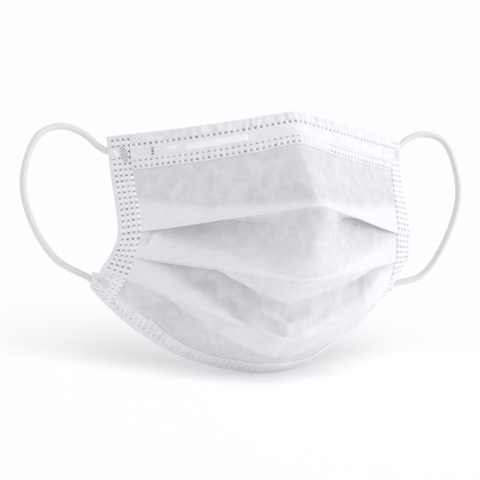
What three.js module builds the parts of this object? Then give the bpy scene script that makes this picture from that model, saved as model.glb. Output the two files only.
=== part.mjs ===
// Earloop face mask: a pleated cloth panel in its worn form, with welded hems, a nose wire, two ear loops.
// Millimetres, +Z up, the front of the mask toward -Y. The origin is the top edge at the nose.
import * as THREE from 'three';

// Driving sizes
const HALF_WIDTH = 88;
const SIDE_BAND = 10.5;
const TOP_HEM = 16;
const BOTTOM_HEM = 9.5;
const WALL = 1;
const GAP = 0.3;
const LAYER = WALL + GAP;
const BAND_THICK = 2;
const BAND_EDGE_THICK = 1.4;
const HEM_THICK = 3.6;
const HEM_SLOT = WALL + 2 * GAP;
const HEM_EDGE_THICK = 1.6;
const CLOTH_IN_HEM = 5;
const PLEAT_AT_SIDE = 8;
const PLEAT_SHUT_AT = 76;
const PANEL_SWELL = 1.2;
const EDGE_CLEAR = 0.5;
const EASE_FROM = 45;
const BOTTOM_HEM_SHORT = 0.8;
const RIDGE_EASE = 12;
const SHOULDER_BEHIND = 1.8;
const WIRE_WIDE = 4;
const WIRE_THICK = 1;
const WIRE_HALF_LENGTH = 60;
const WIRE_BELOW_EDGE = 6.3;
const CORD_DIAMETER = 3;
const CORD_STEPS = 64;
const COLUMNS_PER_HALF = 16;

// Lines across the mask from nose to chin. Each gives its points at the centre line (Y, Z), half way out
// and at the side edge (X, Y, Z), the radius of the ridge down the middle, and how far the right end stands
// above the left one, halved, because the mask sits slightly twisted.
const LINES = {
  top: { centre: [0, 0], half: [38.5, 11.1, -8.3], side: [75.3, 33, -17], ridge: 3, twist: 1.7 },
  hem: { centre: [-9.7, -14], half: [38.1, 7.4, -23.3], side: [74.2, 27.5, -31], ridge: 4.2, twist: 2.5 },
  fold1: { centre: [-34.8, -36.3], half: [37.3, -9.1, -48], side: [74, 12.7, -58.7], ridge: 7, twist: 0.3 },
  fold2: { centre: [-26.4, -70.7], half: [38.5, -6.4, -69.4], side: [75.5, 15.4, -69.5], ridge: 18, twist: -1 },
  fold3: { centre: [-18.5, -99.4], half: [40, -6.8, -88.5], side: [77, 21.6, -79], ridge: 12, twist: -2.5 },
  bottom: { centre: [6.5, -121.9], half: [38.7, 24.6, -113.7], side: [78, 30, -89], ridge: 20, twist: -1.5 },
};

// Pleats: how deep each is at the centre line, how far it opens there, and how fast it shuts toward the sides.
const PLEATS = [
  { line: 'fold1', deep: 9.5, open: 132, shut: 1 },
  { line: 'fold2', deep: 16, open: 145, shut: 1 },
  { line: 'fold3', deep: 11.4, open: 114, shut: 2 },
];

// Ear loop of the right side, from its upper weld round to its lower weld, and how much lower the left one lies.
const LOOP_STATIONS = [
  { x: 84.2, y: 39.7, z: -16.6, skew: 1.9 },
  { x: 92.9, y: 42.5, z: -14.3, skew: 1.3 },
  { x: 104.4, y: 38.9, z: -17.9, skew: 1.6 },
  { x: 112.1, y: 33.8, z: -38.3, skew: 0.3 },
  { x: 108.9, y: 31.1, z: -56.6, skew: -1.2 },
  { x: 95.5, y: 32.1, z: -77.8, skew: -3.9 },
];
// Welds: how far in from the side edge the cord ends, and how far each lies from the band's end, left and right
const WELD_INSET = 6.5;
const UPPER_WELD_DOWN = { left: 8.5, right: 5.5 };
const LOWER_WELD_UP = { left: 6.5, right: 5 };

const vec = (x, y, z) => new THREE.Vector3(x, y, z);
const mix = (a, b, t) => a.clone().lerp(b, t);
const along = (p, d, t) => p.clone().addScaledVector(d, t);
const unit = (a, b) => b.clone().sub(a).normalize();

// Quadratic through three values at 0, a half and 1
const through = (a, b, c, t) => a * (2 * t - 1) * (t - 1) + 4 * b * t * (1 - t) + c * t * (2 * t - 1);

// Point of a line at the signed distance s from the centre line
function lineAt(name, s) {
  const { centre, half, side, ridge, twist } = LINES[name];
  const t = Math.abs(s) / HALF_WIDTH;
  const rounded = (d) => Math.hypot(d, ridge) - ridge;
  const q = rounded(s) / rounded(HALF_WIDTH);
  const x = Math.sign(s) * through(0, half[0], side[0], t);
  const y = through(centre[0], half[1], side[1], q);
  const z = through(centre[1], half[2], side[2], q) + (twist * s) / HALF_WIDTH;
  return vec(x, y, z);
}

// Outward normal at s, from a line's run across the mask and the way up the cloth
function outward(name, s, up) {
  const run = unit(lineAt(name, s - 0.5), lineAt(name, s + 0.5));
  return run.cross(up).normalize();
}

// Section of the cloth at s: the pleated mid-line from inside the top hem to inside the bottom hem
function clothSection(s) {
  const top = lineAt('top', s);
  const hem = along(top, unit(top, lineAt('hem', s)), TOP_HEM + GAP);
  const bottom = lineAt('bottom', s);
  const points = [along(hem, unit(hem, top), CLOTH_IN_HEM), hem.clone()];
  let above = hem;
  const next = ['fold2', 'fold3', 'bottom'];
  let lastShoulder = null;
  PLEATS.forEach((pleat, k) => {
    const fold = lineAt(pleat.line, s);
    const after = lineAt(next[k], s);
    const lean = outward(pleat.line, s, unit(fold, above));
    const up = unit(along(fold, lean, LAYER), above);
    const out = outward(pleat.line, s, up);
    const w = Math.max(0, 1 - (Math.abs(s) / PLEAT_SHUT_AT) ** pleat.shut);
    const angle = THREE.MathUtils.degToRad(pleat.open * w);
    const deep = PLEAT_AT_SIDE + (pleat.deep - PLEAT_AT_SIDE) * w;
    const toward = (a) => up.clone().multiplyScalar(Math.cos(a)).addScaledVector(out, -Math.sin(a));
    const strip = toward(angle);
    const across = toward((Math.PI + angle) / 2);
    const tipOut = toward((Math.PI + angle) / 2 + Math.PI / 2);
    const tip = (LAYER / 2) * Math.tan((Math.PI - angle) / 4);
    const front = (LAYER / 2) * Math.cos(angle / 2) ** 2;
    const mouth = along(fold, out, front);
    const foldFront = along(mouth, across, -LAYER / 2);
    const foldBack = along(mouth, across, LAYER / 2);
    // Near the ridge the inner fold stays on its own side of the middle
    const ease = 1 - Math.exp(-((s / RIDGE_EASE) ** 2));
    const keepSide = (p) => vec(fold.x + (p.x - fold.x) * ease, p.y, p.z);
    // The panel above, with a slight swell
    const start = points[points.length - 1];
    const steps = k === 0 ? 4 : 3;
    const swell = PANEL_SWELL * (1 - (s / HALF_WIDTH) ** 2);
    for (let i = 1; i < steps; i += 1) {
      const p = mix(start, foldFront, i / steps);
      points.push(along(p, out, swell * Math.sin((Math.PI * i) / steps)));
    }
    points.push(...[foldFront, along(mouth, tipOut, tip), foldBack].map(keepSide));
    // The inner fold, behind and above while the pleat is shut, below when it opens
    const inner = along(along(fold, strip, deep), out, -front);
    const innerFront = along(inner, across, -LAYER / 2);
    const innerBack = keepSide(along(inner, across, LAYER / 2));
    points.push(keepSide(innerFront), keepSide(along(inner, tipOut, -tip)), innerBack);
    // Where the panel below passes behind this fold
    const rise = innerBack.clone().sub(fold).dot(up);
    const drop = fold.clone().sub(after).dot(up);
    const f = THREE.MathUtils.clamp(rise / (rise + drop), 0.2, 0.6);
    const shoulder = mix(innerBack, after, f);
    const behind = -shoulder.clone().sub(fold).dot(out);
    const shutBy = SHOULDER_BEHIND * (1 - w);
    const wanted = shutBy + Math.max(shutBy, behind) * w;
    shoulder.addScaledVector(out, behind - wanted);
    points.push(shoulder);
    above = shoulder;
    lastShoulder = shoulder;
  });
  const rise = unit(bottom, lastShoulder);
  const end = along(bottom, rise, BOTTOM_HEM - CLOTH_IN_HEM);
  const from = points[points.length - 1];
  points.push(mix(from, end, 0.4), mix(from, end, 0.72), end);
  return { points, bottomRise: rise };
}

// Columns across the mask, closer together at the ridge
function columns(reach) {
  const list = [];
  for (let i = -COLUMNS_PER_HALF; i <= COLUMNS_PER_HALF; i += 1) {
    const t = Math.abs(i) / COLUMNS_PER_HALF;
    list.push(Math.sign(i) * reach * t ** 1.35);
  }
  return list;
}

// Closed body from a grid of points that wraps round in the second direction, capped at both ends
function loftBody(rings) {
  const n = rings[0].length;
  const positions = [];
  rings.forEach((ring) => ring.forEach((p) => positions.push(p.x, p.y, p.z)));
  const index = [];
  for (let i = 0; i + 1 < rings.length; i += 1) {
    for (let j = 0; j < n; j += 1) {
      const a = i * n + j;
      const b = i * n + ((j + 1) % n);
      index.push(a, b, a + n, b, b + n, a + n);
    }
  }
  return { positions, index, n, count: rings.length };
}

// Geometry with its faces turned outward
function finish(positions, index) {
  let volume = 0;
  const p = (i) => vec(positions[3 * i], positions[3 * i + 1], positions[3 * i + 2]);
  for (let i = 0; i < index.length; i += 3) {
    volume += p(index[i]).dot(p(index[i + 1]).cross(p(index[i + 2])));
  }
  if (volume < 0) {
    for (let i = 0; i < index.length; i += 3) [index[i], index[i + 1]] = [index[i + 1], index[i]];
  }
  const geometry = new THREE.BufferGeometry();
  geometry.setAttribute('position', new THREE.Float32BufferAttribute(positions, 3));
  geometry.setIndex(index);
  geometry.computeVertexNormals();
  return geometry;
}

// Cloth wall: the mid-surface grid moved half a wall each way and closed along its rim
function clothWall(grid) {
  const rows = grid[0].length;
  const cols = grid.length;
  const front = [];
  const back = [];
  for (let i = 0; i < cols; i += 1) {
    for (let j = 0; j < rows; j += 1) {
      const here = grid[i][j];
      const run = unit(grid[Math.max(0, i - 1)][j], grid[Math.min(cols - 1, i + 1)][j]);
      const before = unit(grid[i][Math.max(0, j - 1)], grid[i][j === 0 ? 1 : j]);
      const after = unit(grid[i][j === rows - 1 ? j - 1 : j], grid[i][Math.min(rows - 1, j + 1)]);
      const nBefore = run.clone().cross(before).normalize();
      const nAfter = run.clone().cross(after).normalize();
      const mid = nBefore.clone().add(nAfter).normalize();
      const miter = Math.min(1.6, 1 / Math.max(0.3, mid.dot(nBefore)));
      front.push(along(here, mid, (WALL / 2) * miter));
      back.push(along(here, mid, (-WALL / 2) * miter));
    }
  }
  const positions = [];
  [...front, ...back].forEach((p) => positions.push(p.x, p.y, p.z));
  const index = [];
  const base = cols * rows;
  const quad = (a, b, c, d) => index.push(a, b, c, a, c, d);
  for (let i = 0; i + 1 < cols; i += 1) {
    // The left half is split along the mirrored diagonals
    const left = i < (cols - 1) / 2;
    for (let j = 0; j + 1 < rows; j += 1) {
      const a = i * rows + j;
      const corners = left ? [a + rows, a + rows + 1, a + 1, a] : [a, a + rows, a + rows + 1, a + 1];
      const [p, q, r, t] = corners;
      quad(p, q, r, t);
      quad(base + p, base + t, base + r, base + q);
    }
    const last = i * rows + rows - 1;
    quad(i * rows + rows, i * rows, base + i * rows, base + i * rows + rows);
    quad(last, last + rows, base + last + rows, base + last);
  }
  for (let j = 0; j + 1 < rows; j += 1) {
    const end = (cols - 1) * rows + j;
    quad(j, j + 1, base + j + 1, base + j);
    quad(end + 1, end, base + end, base + end + 1);
  }
  return finish(positions, index);
}

// Strip of constant outline along the mask: rings of the same outline, with triangulated ends
function strip(rings, outline) {
  const { positions, index, n, count } = loftBody(rings);
  const flat = outline.map(([d, o]) => new THREE.Vector2(d, o));
  const caps = THREE.ShapeUtils.triangulateShape(flat, []);
  const last = (count - 1) * n;
  const ccw = !THREE.ShapeUtils.isClockWise(flat);
  caps.forEach(([a, b, c]) => {
    if (ccw) {
      index.push(a, c, b, last + a, last + b, last + c);
    } else {
      index.push(a, b, c, last + a, last + c, last + b);
    }
  });
  return finish(positions, orient(positions, index, n, count));
}

// Makes the end caps agree with the side faces
function orient(positions, index, n, count) {
  const sides = 6 * n * (count - 1);
  const edge = new Set();
  for (let i = 0; i < sides; i += 3) {
    edge.add(`${index[i]},${index[i + 1]}`);
    edge.add(`${index[i + 1]},${index[i + 2]}`);
    edge.add(`${index[i + 2]},${index[i]}`);
  }
  let clash = 0;
  for (let i = sides; i < index.length; i += 3) {
    for (let k = 0; k < 3; k += 1) {
      if (edge.has(`${index[i + k]},${index[i + ((k + 1) % 3)]}`)) clash += 1;
    }
  }
  if (clash > 0) {
    for (let i = sides; i < index.length; i += 3) [index[i], index[i + 1]] = [index[i + 1], index[i]];
  }
  return index;
}

// Hem outline: a folded strip, tapered to its edge, with a slot for the cloth and the wire
function hemOutline(depth, slotFrom) {
  const h = HEM_THICK / 2;
  const m = HEM_SLOT / 2;
  const e = HEM_EDGE_THICK / 2;
  const taper = 0.3 * depth;
  return [
    [0, e], [taper, h], [depth, h], [depth, m], [slotFrom, m],
    [slotFrom, -m], [depth, -m], [depth, -h], [taper, -h], [0, -e],
  ];
}

function hemRings(lineName, inwardAt, outline, reach) {
  return columns(reach).map((s) => {
    const edge = lineAt(lineName, s);
    const inward = inwardAt(s);
    const run = unit(lineAt(lineName, s - 0.5), lineAt(lineName, s + 0.5));
    const out = run.cross(inward).normalize();
    if (out.y > 0) out.negate();
    return outline.map(([d, o]) => along(along(edge, inward, d), out, o));
  });
}

const clothReach = HALF_WIDTH - SIDE_BAND - GAP;
const downFromTop = (s) => unit(lineAt('top', s), lineAt('hem', s));
const upFromBottom = (s) => clothSection(s).bottomRise;

const topOutline = hemOutline(TOP_HEM, WIRE_BELOW_EDGE - GAP);
const topHem = strip(hemRings('top', downFromTop, topOutline, clothReach), topOutline);

const bottomOutline = hemOutline(BOTTOM_HEM, BOTTOM_HEM - CLOTH_IN_HEM - GAP);
const bottomReach = clothReach - BOTTOM_HEM_SHORT;
const bottomHem = strip(hemRings('bottom', upFromBottom, bottomOutline, bottomReach), bottomOutline);

// Nose wire, lying in the top hem's slot above the cloth
const wireOutline = [
  [WIRE_BELOW_EDGE, WIRE_THICK / 2],
  [WIRE_BELOW_EDGE + WIRE_WIDE, WIRE_THICK / 2],
  [WIRE_BELOW_EDGE + WIRE_WIDE, -WIRE_THICK / 2],
  [WIRE_BELOW_EDGE, -WIRE_THICK / 2],
];
const wire = strip(hemRings('top', downFromTop, wireOutline, WIRE_HALF_LENGTH), wireOutline);

// Side bands: the pleats pressed and welded flat, from the top edge to the bottom edge
const BAND_LINES = ['top', 'hem', 'fold1', 'fold2', 'fold3', 'bottom'];
const sideProfile = (s) => {
  const stops = BAND_LINES.map((name) => lineAt(name, s));
  return new THREE.CatmullRomCurve3(stops, false, 'centripetal');
};

// A frame on the band: a point at s, the way down and the outward normal
function bandFrame(s, t) {
  const at = sideProfile(s).getPoint(t);
  const above = sideProfile(s).getPoint(Math.max(0, t - 0.01));
  const below = sideProfile(s).getPoint(Math.min(1, t + 0.01));
  const down = unit(above, below);
  const outer = Math.sign(s) * HALF_WIDTH;
  const inner = Math.sign(s) * (HALF_WIDTH - SIDE_BAND);
  const run = unit(sideProfile(inner).getPoint(t), sideProfile(outer).getPoint(t));
  const out = run.clone().cross(down).normalize();
  if (out.y > 0) out.negate();
  return { at, down, out, run };
}

// Draws each row of the cloth back to the band's inner edge, easing the shift in over the last stretch
function trimToBand(grid, list) {
  [-1, 1].forEach((sign) => {
    const frames = [];
    for (let i = 0; i <= 200; i += 1) frames.push(bandFrame(sign * (HALF_WIDTH - SIDE_BAND), i / 200));
    const edge = sign < 0 ? 0 : list.length - 1;
    const runs = grid[edge].map((point, j) => unit(grid[edge - 2 * sign][j], point));
    const overs = grid[edge].map((point, j) => {
      const near = frames.reduce((a, b) => (a.at.distanceTo(point) < b.at.distanceTo(point) ? a : b));
      return (point.clone().sub(near.at).dot(near.run) + EDGE_CLEAR) / runs[j].dot(near.run);
    });
    list.forEach((s, i) => {
      const t = Math.max(0, (s * sign - EASE_FROM) / (clothReach - EASE_FROM));
      grid[i].forEach((point, j) => point.addScaledVector(runs[j], -overs[j] * t * t));
    });
  });
  return grid;
}

// Pleated cloth between the side bands
const clothColumns = columns(clothReach);
const clothGrid = trimToBand(clothColumns.map((s) => clothSection(s).points), clothColumns);
const body = clothWall(clothGrid);

function sideBand(sign) {
  const inner = sign * (HALF_WIDTH - SIDE_BAND);
  const outer = sign * HALF_WIDTH;
  const rows = 5 * 5;
  const thick = BAND_THICK / 2;
  const thin = BAND_EDGE_THICK / 2;
  const rings = [];
  for (let i = 0; i <= rows; i += 1) {
    const a = bandFrame(inner, i / rows);
    const b = bandFrame(outer, i / rows);
    const m = mix(a.at, b.at, 0.8);
    rings.push([
      along(a.at, a.out, thick), along(m, b.out, thick), along(b.at, b.out, thin),
      along(b.at, b.out, -thin), along(m, b.out, -thick), along(a.at, a.out, -thick),
    ]);
  }
  const outline = [[0, thick], [8, thick], [10, thin], [10, -thin], [8, -thick], [0, -thick]];
  return strip(rings, outline);
}

// Ear loop: a round elastic whose two ends lie against the back of the band
function earLoop(sign) {
  const behind = BAND_THICK / 2 + GAP + CORD_DIAMETER / 2;
  const hand = sign < 0 ? 'left' : 'right';
  const length = sideProfile(sign * HALF_WIDTH).getLength();
  // The cord's end behind the band, and the point where it comes clear of the edge
  const weld = (t) => {
    const end = bandFrame(sign * (HALF_WIDTH - WELD_INSET), t);
    const edge = bandFrame(sign * HALF_WIDTH, t);
    const clear = along(edge.at, edge.run, CORD_DIAMETER / 2);
    return [along(end.at, end.out, -behind), along(clear, edge.out, -behind)];
  };
  const upper = weld(UPPER_WELD_DOWN[hand] / length);
  const lower = weld(1 - LOWER_WELD_UP[hand] / length).reverse();
  const middle = LOOP_STATIONS.map(({ x, y, z, skew }) => vec(sign * x, y, z + sign * skew));
  const path = new THREE.CatmullRomCurve3([...upper, ...middle, ...lower]);
  const circle = new THREE.Shape();
  const sides = 8;
  for (let i = 0; i < sides; i += 1) {
    const a = (2 * Math.PI * i) / sides;
    const x = (CORD_DIAMETER / 2) * Math.cos(a);
    const y = (CORD_DIAMETER / 2) * Math.sin(a);
    if (i === 0) circle.moveTo(x, y);
    else circle.lineTo(x, y);
  }
  return new THREE.ExtrudeGeometry(circle, { extrudePath: path, steps: CORD_STEPS, bevelEnabled: false });
}

// Materials and the named pieces
const material = (name, color, roughness, metalness = 0) => {
  const m = new THREE.MeshStandardMaterial({ color, roughness, metalness });
  m.name = name;
  return m;
};
const cloth = material('white_nonwoven', '#f2f2f2', 0.9);
const binding = material('white_hem_nonwoven', '#f4f4f4', 0.85);
const elastic = material('white_elastic', '#ecece8', 0.8);
const steel = material('coated_wire', '#e6e6e6', 0.4);

const part = new THREE.Group();
part.name = 'earloop_face_mask';
const pieces = [
  ['mask_body', body, cloth],
  ['top_hem', topHem, binding],
  ['bottom_hem', bottomHem, binding],
  ['side_hem_left', sideBand(-1), binding],
  ['side_hem_right', sideBand(1), binding],
  ['nose_wire', wire, steel],
  ['ear_loop_left', earLoop(-1), elastic],
  ['ear_loop_right', earLoop(1), elastic],
];
pieces.forEach(([name, geometry, surface]) => {
  const mesh = new THREE.Mesh(geometry, surface);
  mesh.name = name;
  part.add(mesh);
});

export default part;
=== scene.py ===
import math

import bmesh
import bpy
import numpy as np
from mathutils import Matrix, Vector, noise


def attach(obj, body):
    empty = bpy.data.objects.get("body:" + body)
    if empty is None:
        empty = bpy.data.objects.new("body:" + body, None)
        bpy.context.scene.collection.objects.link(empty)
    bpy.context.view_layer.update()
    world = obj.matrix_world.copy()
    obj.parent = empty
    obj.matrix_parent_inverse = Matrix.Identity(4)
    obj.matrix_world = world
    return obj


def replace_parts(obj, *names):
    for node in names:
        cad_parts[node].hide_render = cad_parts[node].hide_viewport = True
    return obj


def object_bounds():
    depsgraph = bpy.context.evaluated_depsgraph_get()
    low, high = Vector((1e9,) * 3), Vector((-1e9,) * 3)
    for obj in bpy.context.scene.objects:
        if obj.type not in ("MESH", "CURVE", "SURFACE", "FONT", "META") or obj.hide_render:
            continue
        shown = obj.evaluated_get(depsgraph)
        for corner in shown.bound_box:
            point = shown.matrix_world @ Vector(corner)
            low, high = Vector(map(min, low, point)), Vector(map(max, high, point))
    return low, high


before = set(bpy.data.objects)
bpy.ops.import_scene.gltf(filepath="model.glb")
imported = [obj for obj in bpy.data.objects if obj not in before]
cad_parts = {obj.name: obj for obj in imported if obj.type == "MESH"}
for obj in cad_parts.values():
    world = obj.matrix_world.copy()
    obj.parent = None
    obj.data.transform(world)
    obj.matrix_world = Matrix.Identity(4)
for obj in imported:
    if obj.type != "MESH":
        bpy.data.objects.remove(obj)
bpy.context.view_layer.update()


# Pleated cloth panel
# Three layers of white spunbond polypropylene, laid in three pleats that open over the mouth and chin.
# It is one sheet, held at the top and bottom in the hems and at both sides in the welded bands.

# Sizes in mm. A place across the mask is a length along the cloth from its centre line, below 0 on the left
HALF_WIDTH = 88.0
SIDE_BAND = 10.5
cloth_reach = HALF_WIDTH - SIDE_BAND
TOP_HEM = 16.0
BOTTOM_HEM = 11.5
CLOTH_IN_HEM = 5.0
CLOTH_IN_BAND = 0.6
CLOTH_WALL = 0.5

# Lines across the mask: centre (y, z), half way out (x, y, z), side edge (x, y, z), ridge radius, twist
LINES = {
    "top": ((0, 0), (38.5, 11.1, -8.3), (75.3, 33, -17), 3, 1.7),
    "hem": ((-9.7, -14), (38.1, 7.4, -23.3), (74.2, 27.5, -31), 4.2, 2.5),
    "fold1": ((-34.8, -36.3), (37.3, -9.1, -48), (74, 12.7, -58.7), 5, 0.3),
    "fold2": ((-26.4, -70.7), (38.5, -6.4, -69.4), (75.5, 15.4, -69.5), 18, -1),
    "fold3": ((-18.5, -99.4), (40, -6.8, -88.5), (77, 21.6, -79), 10, -2.5),
    "bottom": ((6.5, -121.9), (38.7, 24.6, -113.7), (78, 30, -89), 20, -1.5),
}
# How far a line's right end is drawn in before the side band, and how far the band's edge then flares out
RIGHT_ENDS = {"fold1": (0.3, 1.6), "fold2": (0.5, 1.6), "fold3": (2.6, 0.5), "bottom": (3.0, 0.5)}
RIGHT_END_FROM = 40.0

# Pleats, by their fold line and the line below: depth and degrees open at the middle, how fast they shut to
# the left and the right, how far the lip has rolled down at the middle, where that is and where it ends at
# each side, how far the rolled cloth turns to the line below, degrees it bends in at each side, how white its
# layers make it, degrees the pockets open at each side, and how softly the inner fold bends
PLEATS = (
    {
        "line": "fold1", "below": "fold2", "deep": 3.5, "opens": 168, "shuts": (1, 1),
        "roll": 0, "middle": 0, "ends": (-66, 56), "turn": 0, "bend": (0, 0),
        "white": 1.0, "pockets": (34, 16), "soft": 9,
    },
    {
        "line": "fold2", "below": "fold3", "deep": 14, "opens": 172, "shuts": (0.55, 0.35),
        "roll": 13.2, "middle": -4, "ends": (-40, 50), "turn": 0.35, "bend": (13, 24),
        "white": 0.45, "pockets": (62, 40), "soft": 4,
    },
    {
        "line": "fold3", "below": "bottom", "deep": 14, "opens": 172, "shuts": (0.3, 0.3),
        "roll": 15, "middle": 0, "ends": (-60, 60), "turn": 0.8, "bend": (9, 9),
        "white": 0.5, "pockets": (50, 40), "soft": 4,
    },
)
# Room for a layer, a pleat's depth at its shut ends, its least depth and roll, and how far its edge stands out
LAYER = 0.65
PLEAT_AT_SIDE = 8.0
LEAST_DEPTH = 3.5
LEAST_ROLL = 0.4
FOLD_LIP = 0.6
# How a rolled pleat's bend comes in with its roll and across the middle, how much of it the lowest ridge
# takes out, and how far from the middle a pleat's inner rows keep to its lip
FULL_BEND_ROLL = 4.0
BEND_EASE = 15.0
RIDGE_UNBENDS = 0.5
RIDGE_EASE = 12.0
# Where the pockets and the hollows end toward the bands
POCKET_SHUT_AT = 64.0
POCKET_SHAPE = 1.5
BOW_EASE = 32.0
# The panel below a pleat passes behind its lip: how far behind, and how far down the shoulder may lie
SHOULDER_BEHIND = 1.0
SHOULDER_DOWN = (0.2, 0.6)
# Degrees open between which the inner fold turns into a soft bend, and the shoulder comes out from behind
BEND_OPENS = (80, 130)
SHOULDER_OPENS = (90, 140)
# Toward the bands the layers are pressed thinner and flatter, and each row is drawn in to end there
PRESSED_FROM = 56.0
PRESSED_AWAY = 0.5
FLATTENED_FROM = 63.0
FLATTENED = 0.85
TRIM_EASE_FROM = 45.0

# How far the panels hollow, and how far each one's middle stands out in a ridge, by the place down it
PANEL_HOLLOW = {0.3: -0.6, 0.6: -1.5, 0.82: -1.2, 0.95: -0.35}
RIDGES = (
    {"at": -0.8, "wide": 12, "hollow": 1.0, "out": {0.3: 0.9, 0.6: 1.6, 0.82: 1.5, 0.95: 0.5}},
    {"at": -2.0, "wide": 22, "hollow": -1.2, "out": {0.3: 1.9, 0.6: 1.2, 0.82: 0.6, 0.95: 0.1}},
    {"at": -5.0, "wide": 25, "hollow": 1.0, "out": {0.3: 5.4, 0.6: 7.0, 0.82: 5.2, 0.95: 1.4}},
)
RIDGE_SHAPE = 1.3
# A soft valley crosses the last of these panels on the left, from near its top to near its foot
VALLEY = {0.3: 2.2, 0.6: 3.3, 0.82: 2.9, 0.95: 1.0}
VALLEY_FROM = -52.0
VALLEY_TO = -20.0
VALLEY_WIDE = 8.0
# The plain panel below the last pleat: where its curve is held, and the share of it that is hidden
LAST_PANEL_STOPS = (0.4, 0.72)
LAST_PANEL_HIDDEN = 0.3

# How far up from its fold a panel is backed by the pleat, which makes it whiter
OVERLAP_AT_SIDE = 8.0
OVERLAP_AT_MIDDLE = 2.0
OVERLAP_SOFT = 3.0
OVERLAP_GROWS = 0.6
OVERLAP_GROWS_FROM = 45.0
# Painted light that lightens a panel, here only the second one, and where across the mask and down the panel
# that comes in
PANEL_PAINTED_LIGHT = (0.0, 0.5, 0.0)
PAINTED_LIGHT_ACROSS = (-60.0, -30.0)
PAINTED_LIGHT_DOWN = (0.1, 0.6)

# Dents by width and height, creases by height, level and the lengths that their two directions run over,
# and how far from the bands and from a tucked end they fade
CRUMPLES = ((13.0, 0.6), (5.5, 0.32), (2.4, 0.13))
CREASE = 0.35
CREASE_LEVEL = 0.3
CREASE_RUN = ((26.0, 60.0), (-40.0, 10.0))
CRUMPLE_FADE = (6.0, 18.0)
CRUMPLE_SHAPE = 0.6
CRUMPLE_SEED = 3.0
TUCKED_EASE = 4.0
# A short tuck runs down from the first fold beside the left band: its two ends across and down, its height,
# the width of its line, and where the cloth is drawn up beside it and along it
TUCK = ((-71.4, 47.6), (-74.2, 57.5))
TUCK_HIGH = 1.4
TUCK_LINE = 0.8
TUCK_BESIDE = (-3.5, -1.0, 1.0, 5.0)
TUCK_ALONG = (0.0, 0.2, 0.6, 1.0)

# Mesh: columns, crowded to the ridge, and rows of the panels, the rolled cloth, the strip behind and bends
PANEL_COLUMNS_PER_HALF = 100
COLUMN_CROWD = 1.2
PANEL_ROWS = (40, 36, 32)
LAST_PANEL_ROWS = 28
ROLL_ROWS = 8
ROLL_CROWD = 1.3
STRIP_ROWS = 7
BEND_ROWS = 7
CURVE_POINTS = 801
RIM_POINTS = 201
NORMAL_EASE = 2
# The column, about 26 mm left of the middle, along which the cloth's height is measured
FLAT_COLUMN = 60


def unit(v):
    return v / np.linalg.norm(v, axis=-1, keepdims=True)


def dot(a, b):
    return (a * b).sum(axis=-1, keepdims=True)


def through(a, b, c, t):
    """Value at t of the curve that has a, b and c at 0, a half and 1."""
    return a * (2 * t - 1) * (t - 1) + 4 * b * t * (1 - t) + c * t * (2 * t - 1)


def soft_step(x, low, high):
    """From 0 at low to 1 at high, level at both."""
    t = np.clip((x - low) / (high - low), 0, 1)
    return t * t * (3 - 2 * t)


def plateau(x, start, full, ease, end):
    """From 0 at start to 1 at full, and from 1 at ease back to 0 at end."""
    return soft_step(x, start, full) * (1 - soft_step(x, ease, end))


def bell(x, middle, half):
    return np.exp(-(((x - middle) / half) ** 2))


def line_at(name, s):
    """Points of a line at the signed distances s from the centre line, in mm."""
    centre, half, side, ridge, twist = LINES[name]
    s = np.asarray(s, float)
    t = np.abs(s) / HALF_WIDTH
    q = (np.hypot(s, ridge) - ridge) / (math.hypot(HALF_WIDTH, ridge) - ridge)
    drawn_in, flare = RIGHT_ENDS.get(name, (0, 0))
    x = np.sign(s) * through(0, half[0], side[0], t)
    x = x - drawn_in * soft_step(s, RIGHT_END_FROM, cloth_reach)
    x = x + flare * soft_step(s, cloth_reach, HALF_WIDTH)
    y = through(centre[0], half[1], side[1], q)
    z = through(centre[1], half[2], side[2], q) + twist * s / HALF_WIDTH
    return np.stack((x, y, z), axis=-1)


def run_at(name, s):
    """Direction along a line."""
    return unit(line_at(name, s + 0.5) - line_at(name, s - 0.5))


def spline(stops, t):
    """Smooth curve through the stops, at t from 0 to 1."""
    stops = np.asarray(stops)
    p = np.concatenate(([2 * stops[0] - stops[1]], stops, [2 * stops[-1] - stops[-2]]))
    t = np.asarray(t, float) * (len(stops) - 1)
    k = np.minimum(t.astype(int), len(stops) - 2)
    u = (t - k).reshape((-1,) + (1,) * (stops.ndim - 1))
    p0, p1, p2, p3 = p[k], p[k + 1], p[k + 2], p[k + 3]
    gaps = (p1 - p0, p2 - p1, p3 - p2)
    d0, d1, d2 = (np.sqrt(np.linalg.norm(gap, axis=-1, keepdims=True)) for gap in gaps)
    m1 = d1 * ((p1 - p0) / d0 - (p2 - p0) / (d0 + d1) + (p2 - p1) / d1)
    m2 = d1 * ((p2 - p1) / d1 - (p3 - p1) / (d1 + d2) + (p3 - p2) / d2)
    return p1 + m1 * u + (3 * (p2 - p1) - 2 * m1 - m2) * u**2 + (2 * (p1 - p2) + m1 + m2) * u**3


def lengths(points):
    """Length along a line of points up to each of them."""
    return np.concatenate(([0], np.linalg.norm(np.diff(points, axis=0), axis=1).cumsum()))


def pressed_at(s):
    """Share of their thickness that the layers keep toward the bands, where they are pressed."""
    return 1 - PRESSED_AWAY * soft_step(np.abs(s), PRESSED_FROM, cloth_reach)


def ridge_at(ridge, s):
    """How far out a ridge stands at places s, from 1 on its crest down to 0."""
    return np.maximum(0, 1 - np.abs(s - ridge["at"]) / ridge["wide"])[:, None] ** RIDGE_SHAPE


def bow_at(s):
    """How far folds and hollows are free of the pressed sides, from 0 near the bands to 1."""
    return soft_step(POCKET_SHUT_AT - np.abs(s), 0, BOW_EASE)[:, None]


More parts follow.
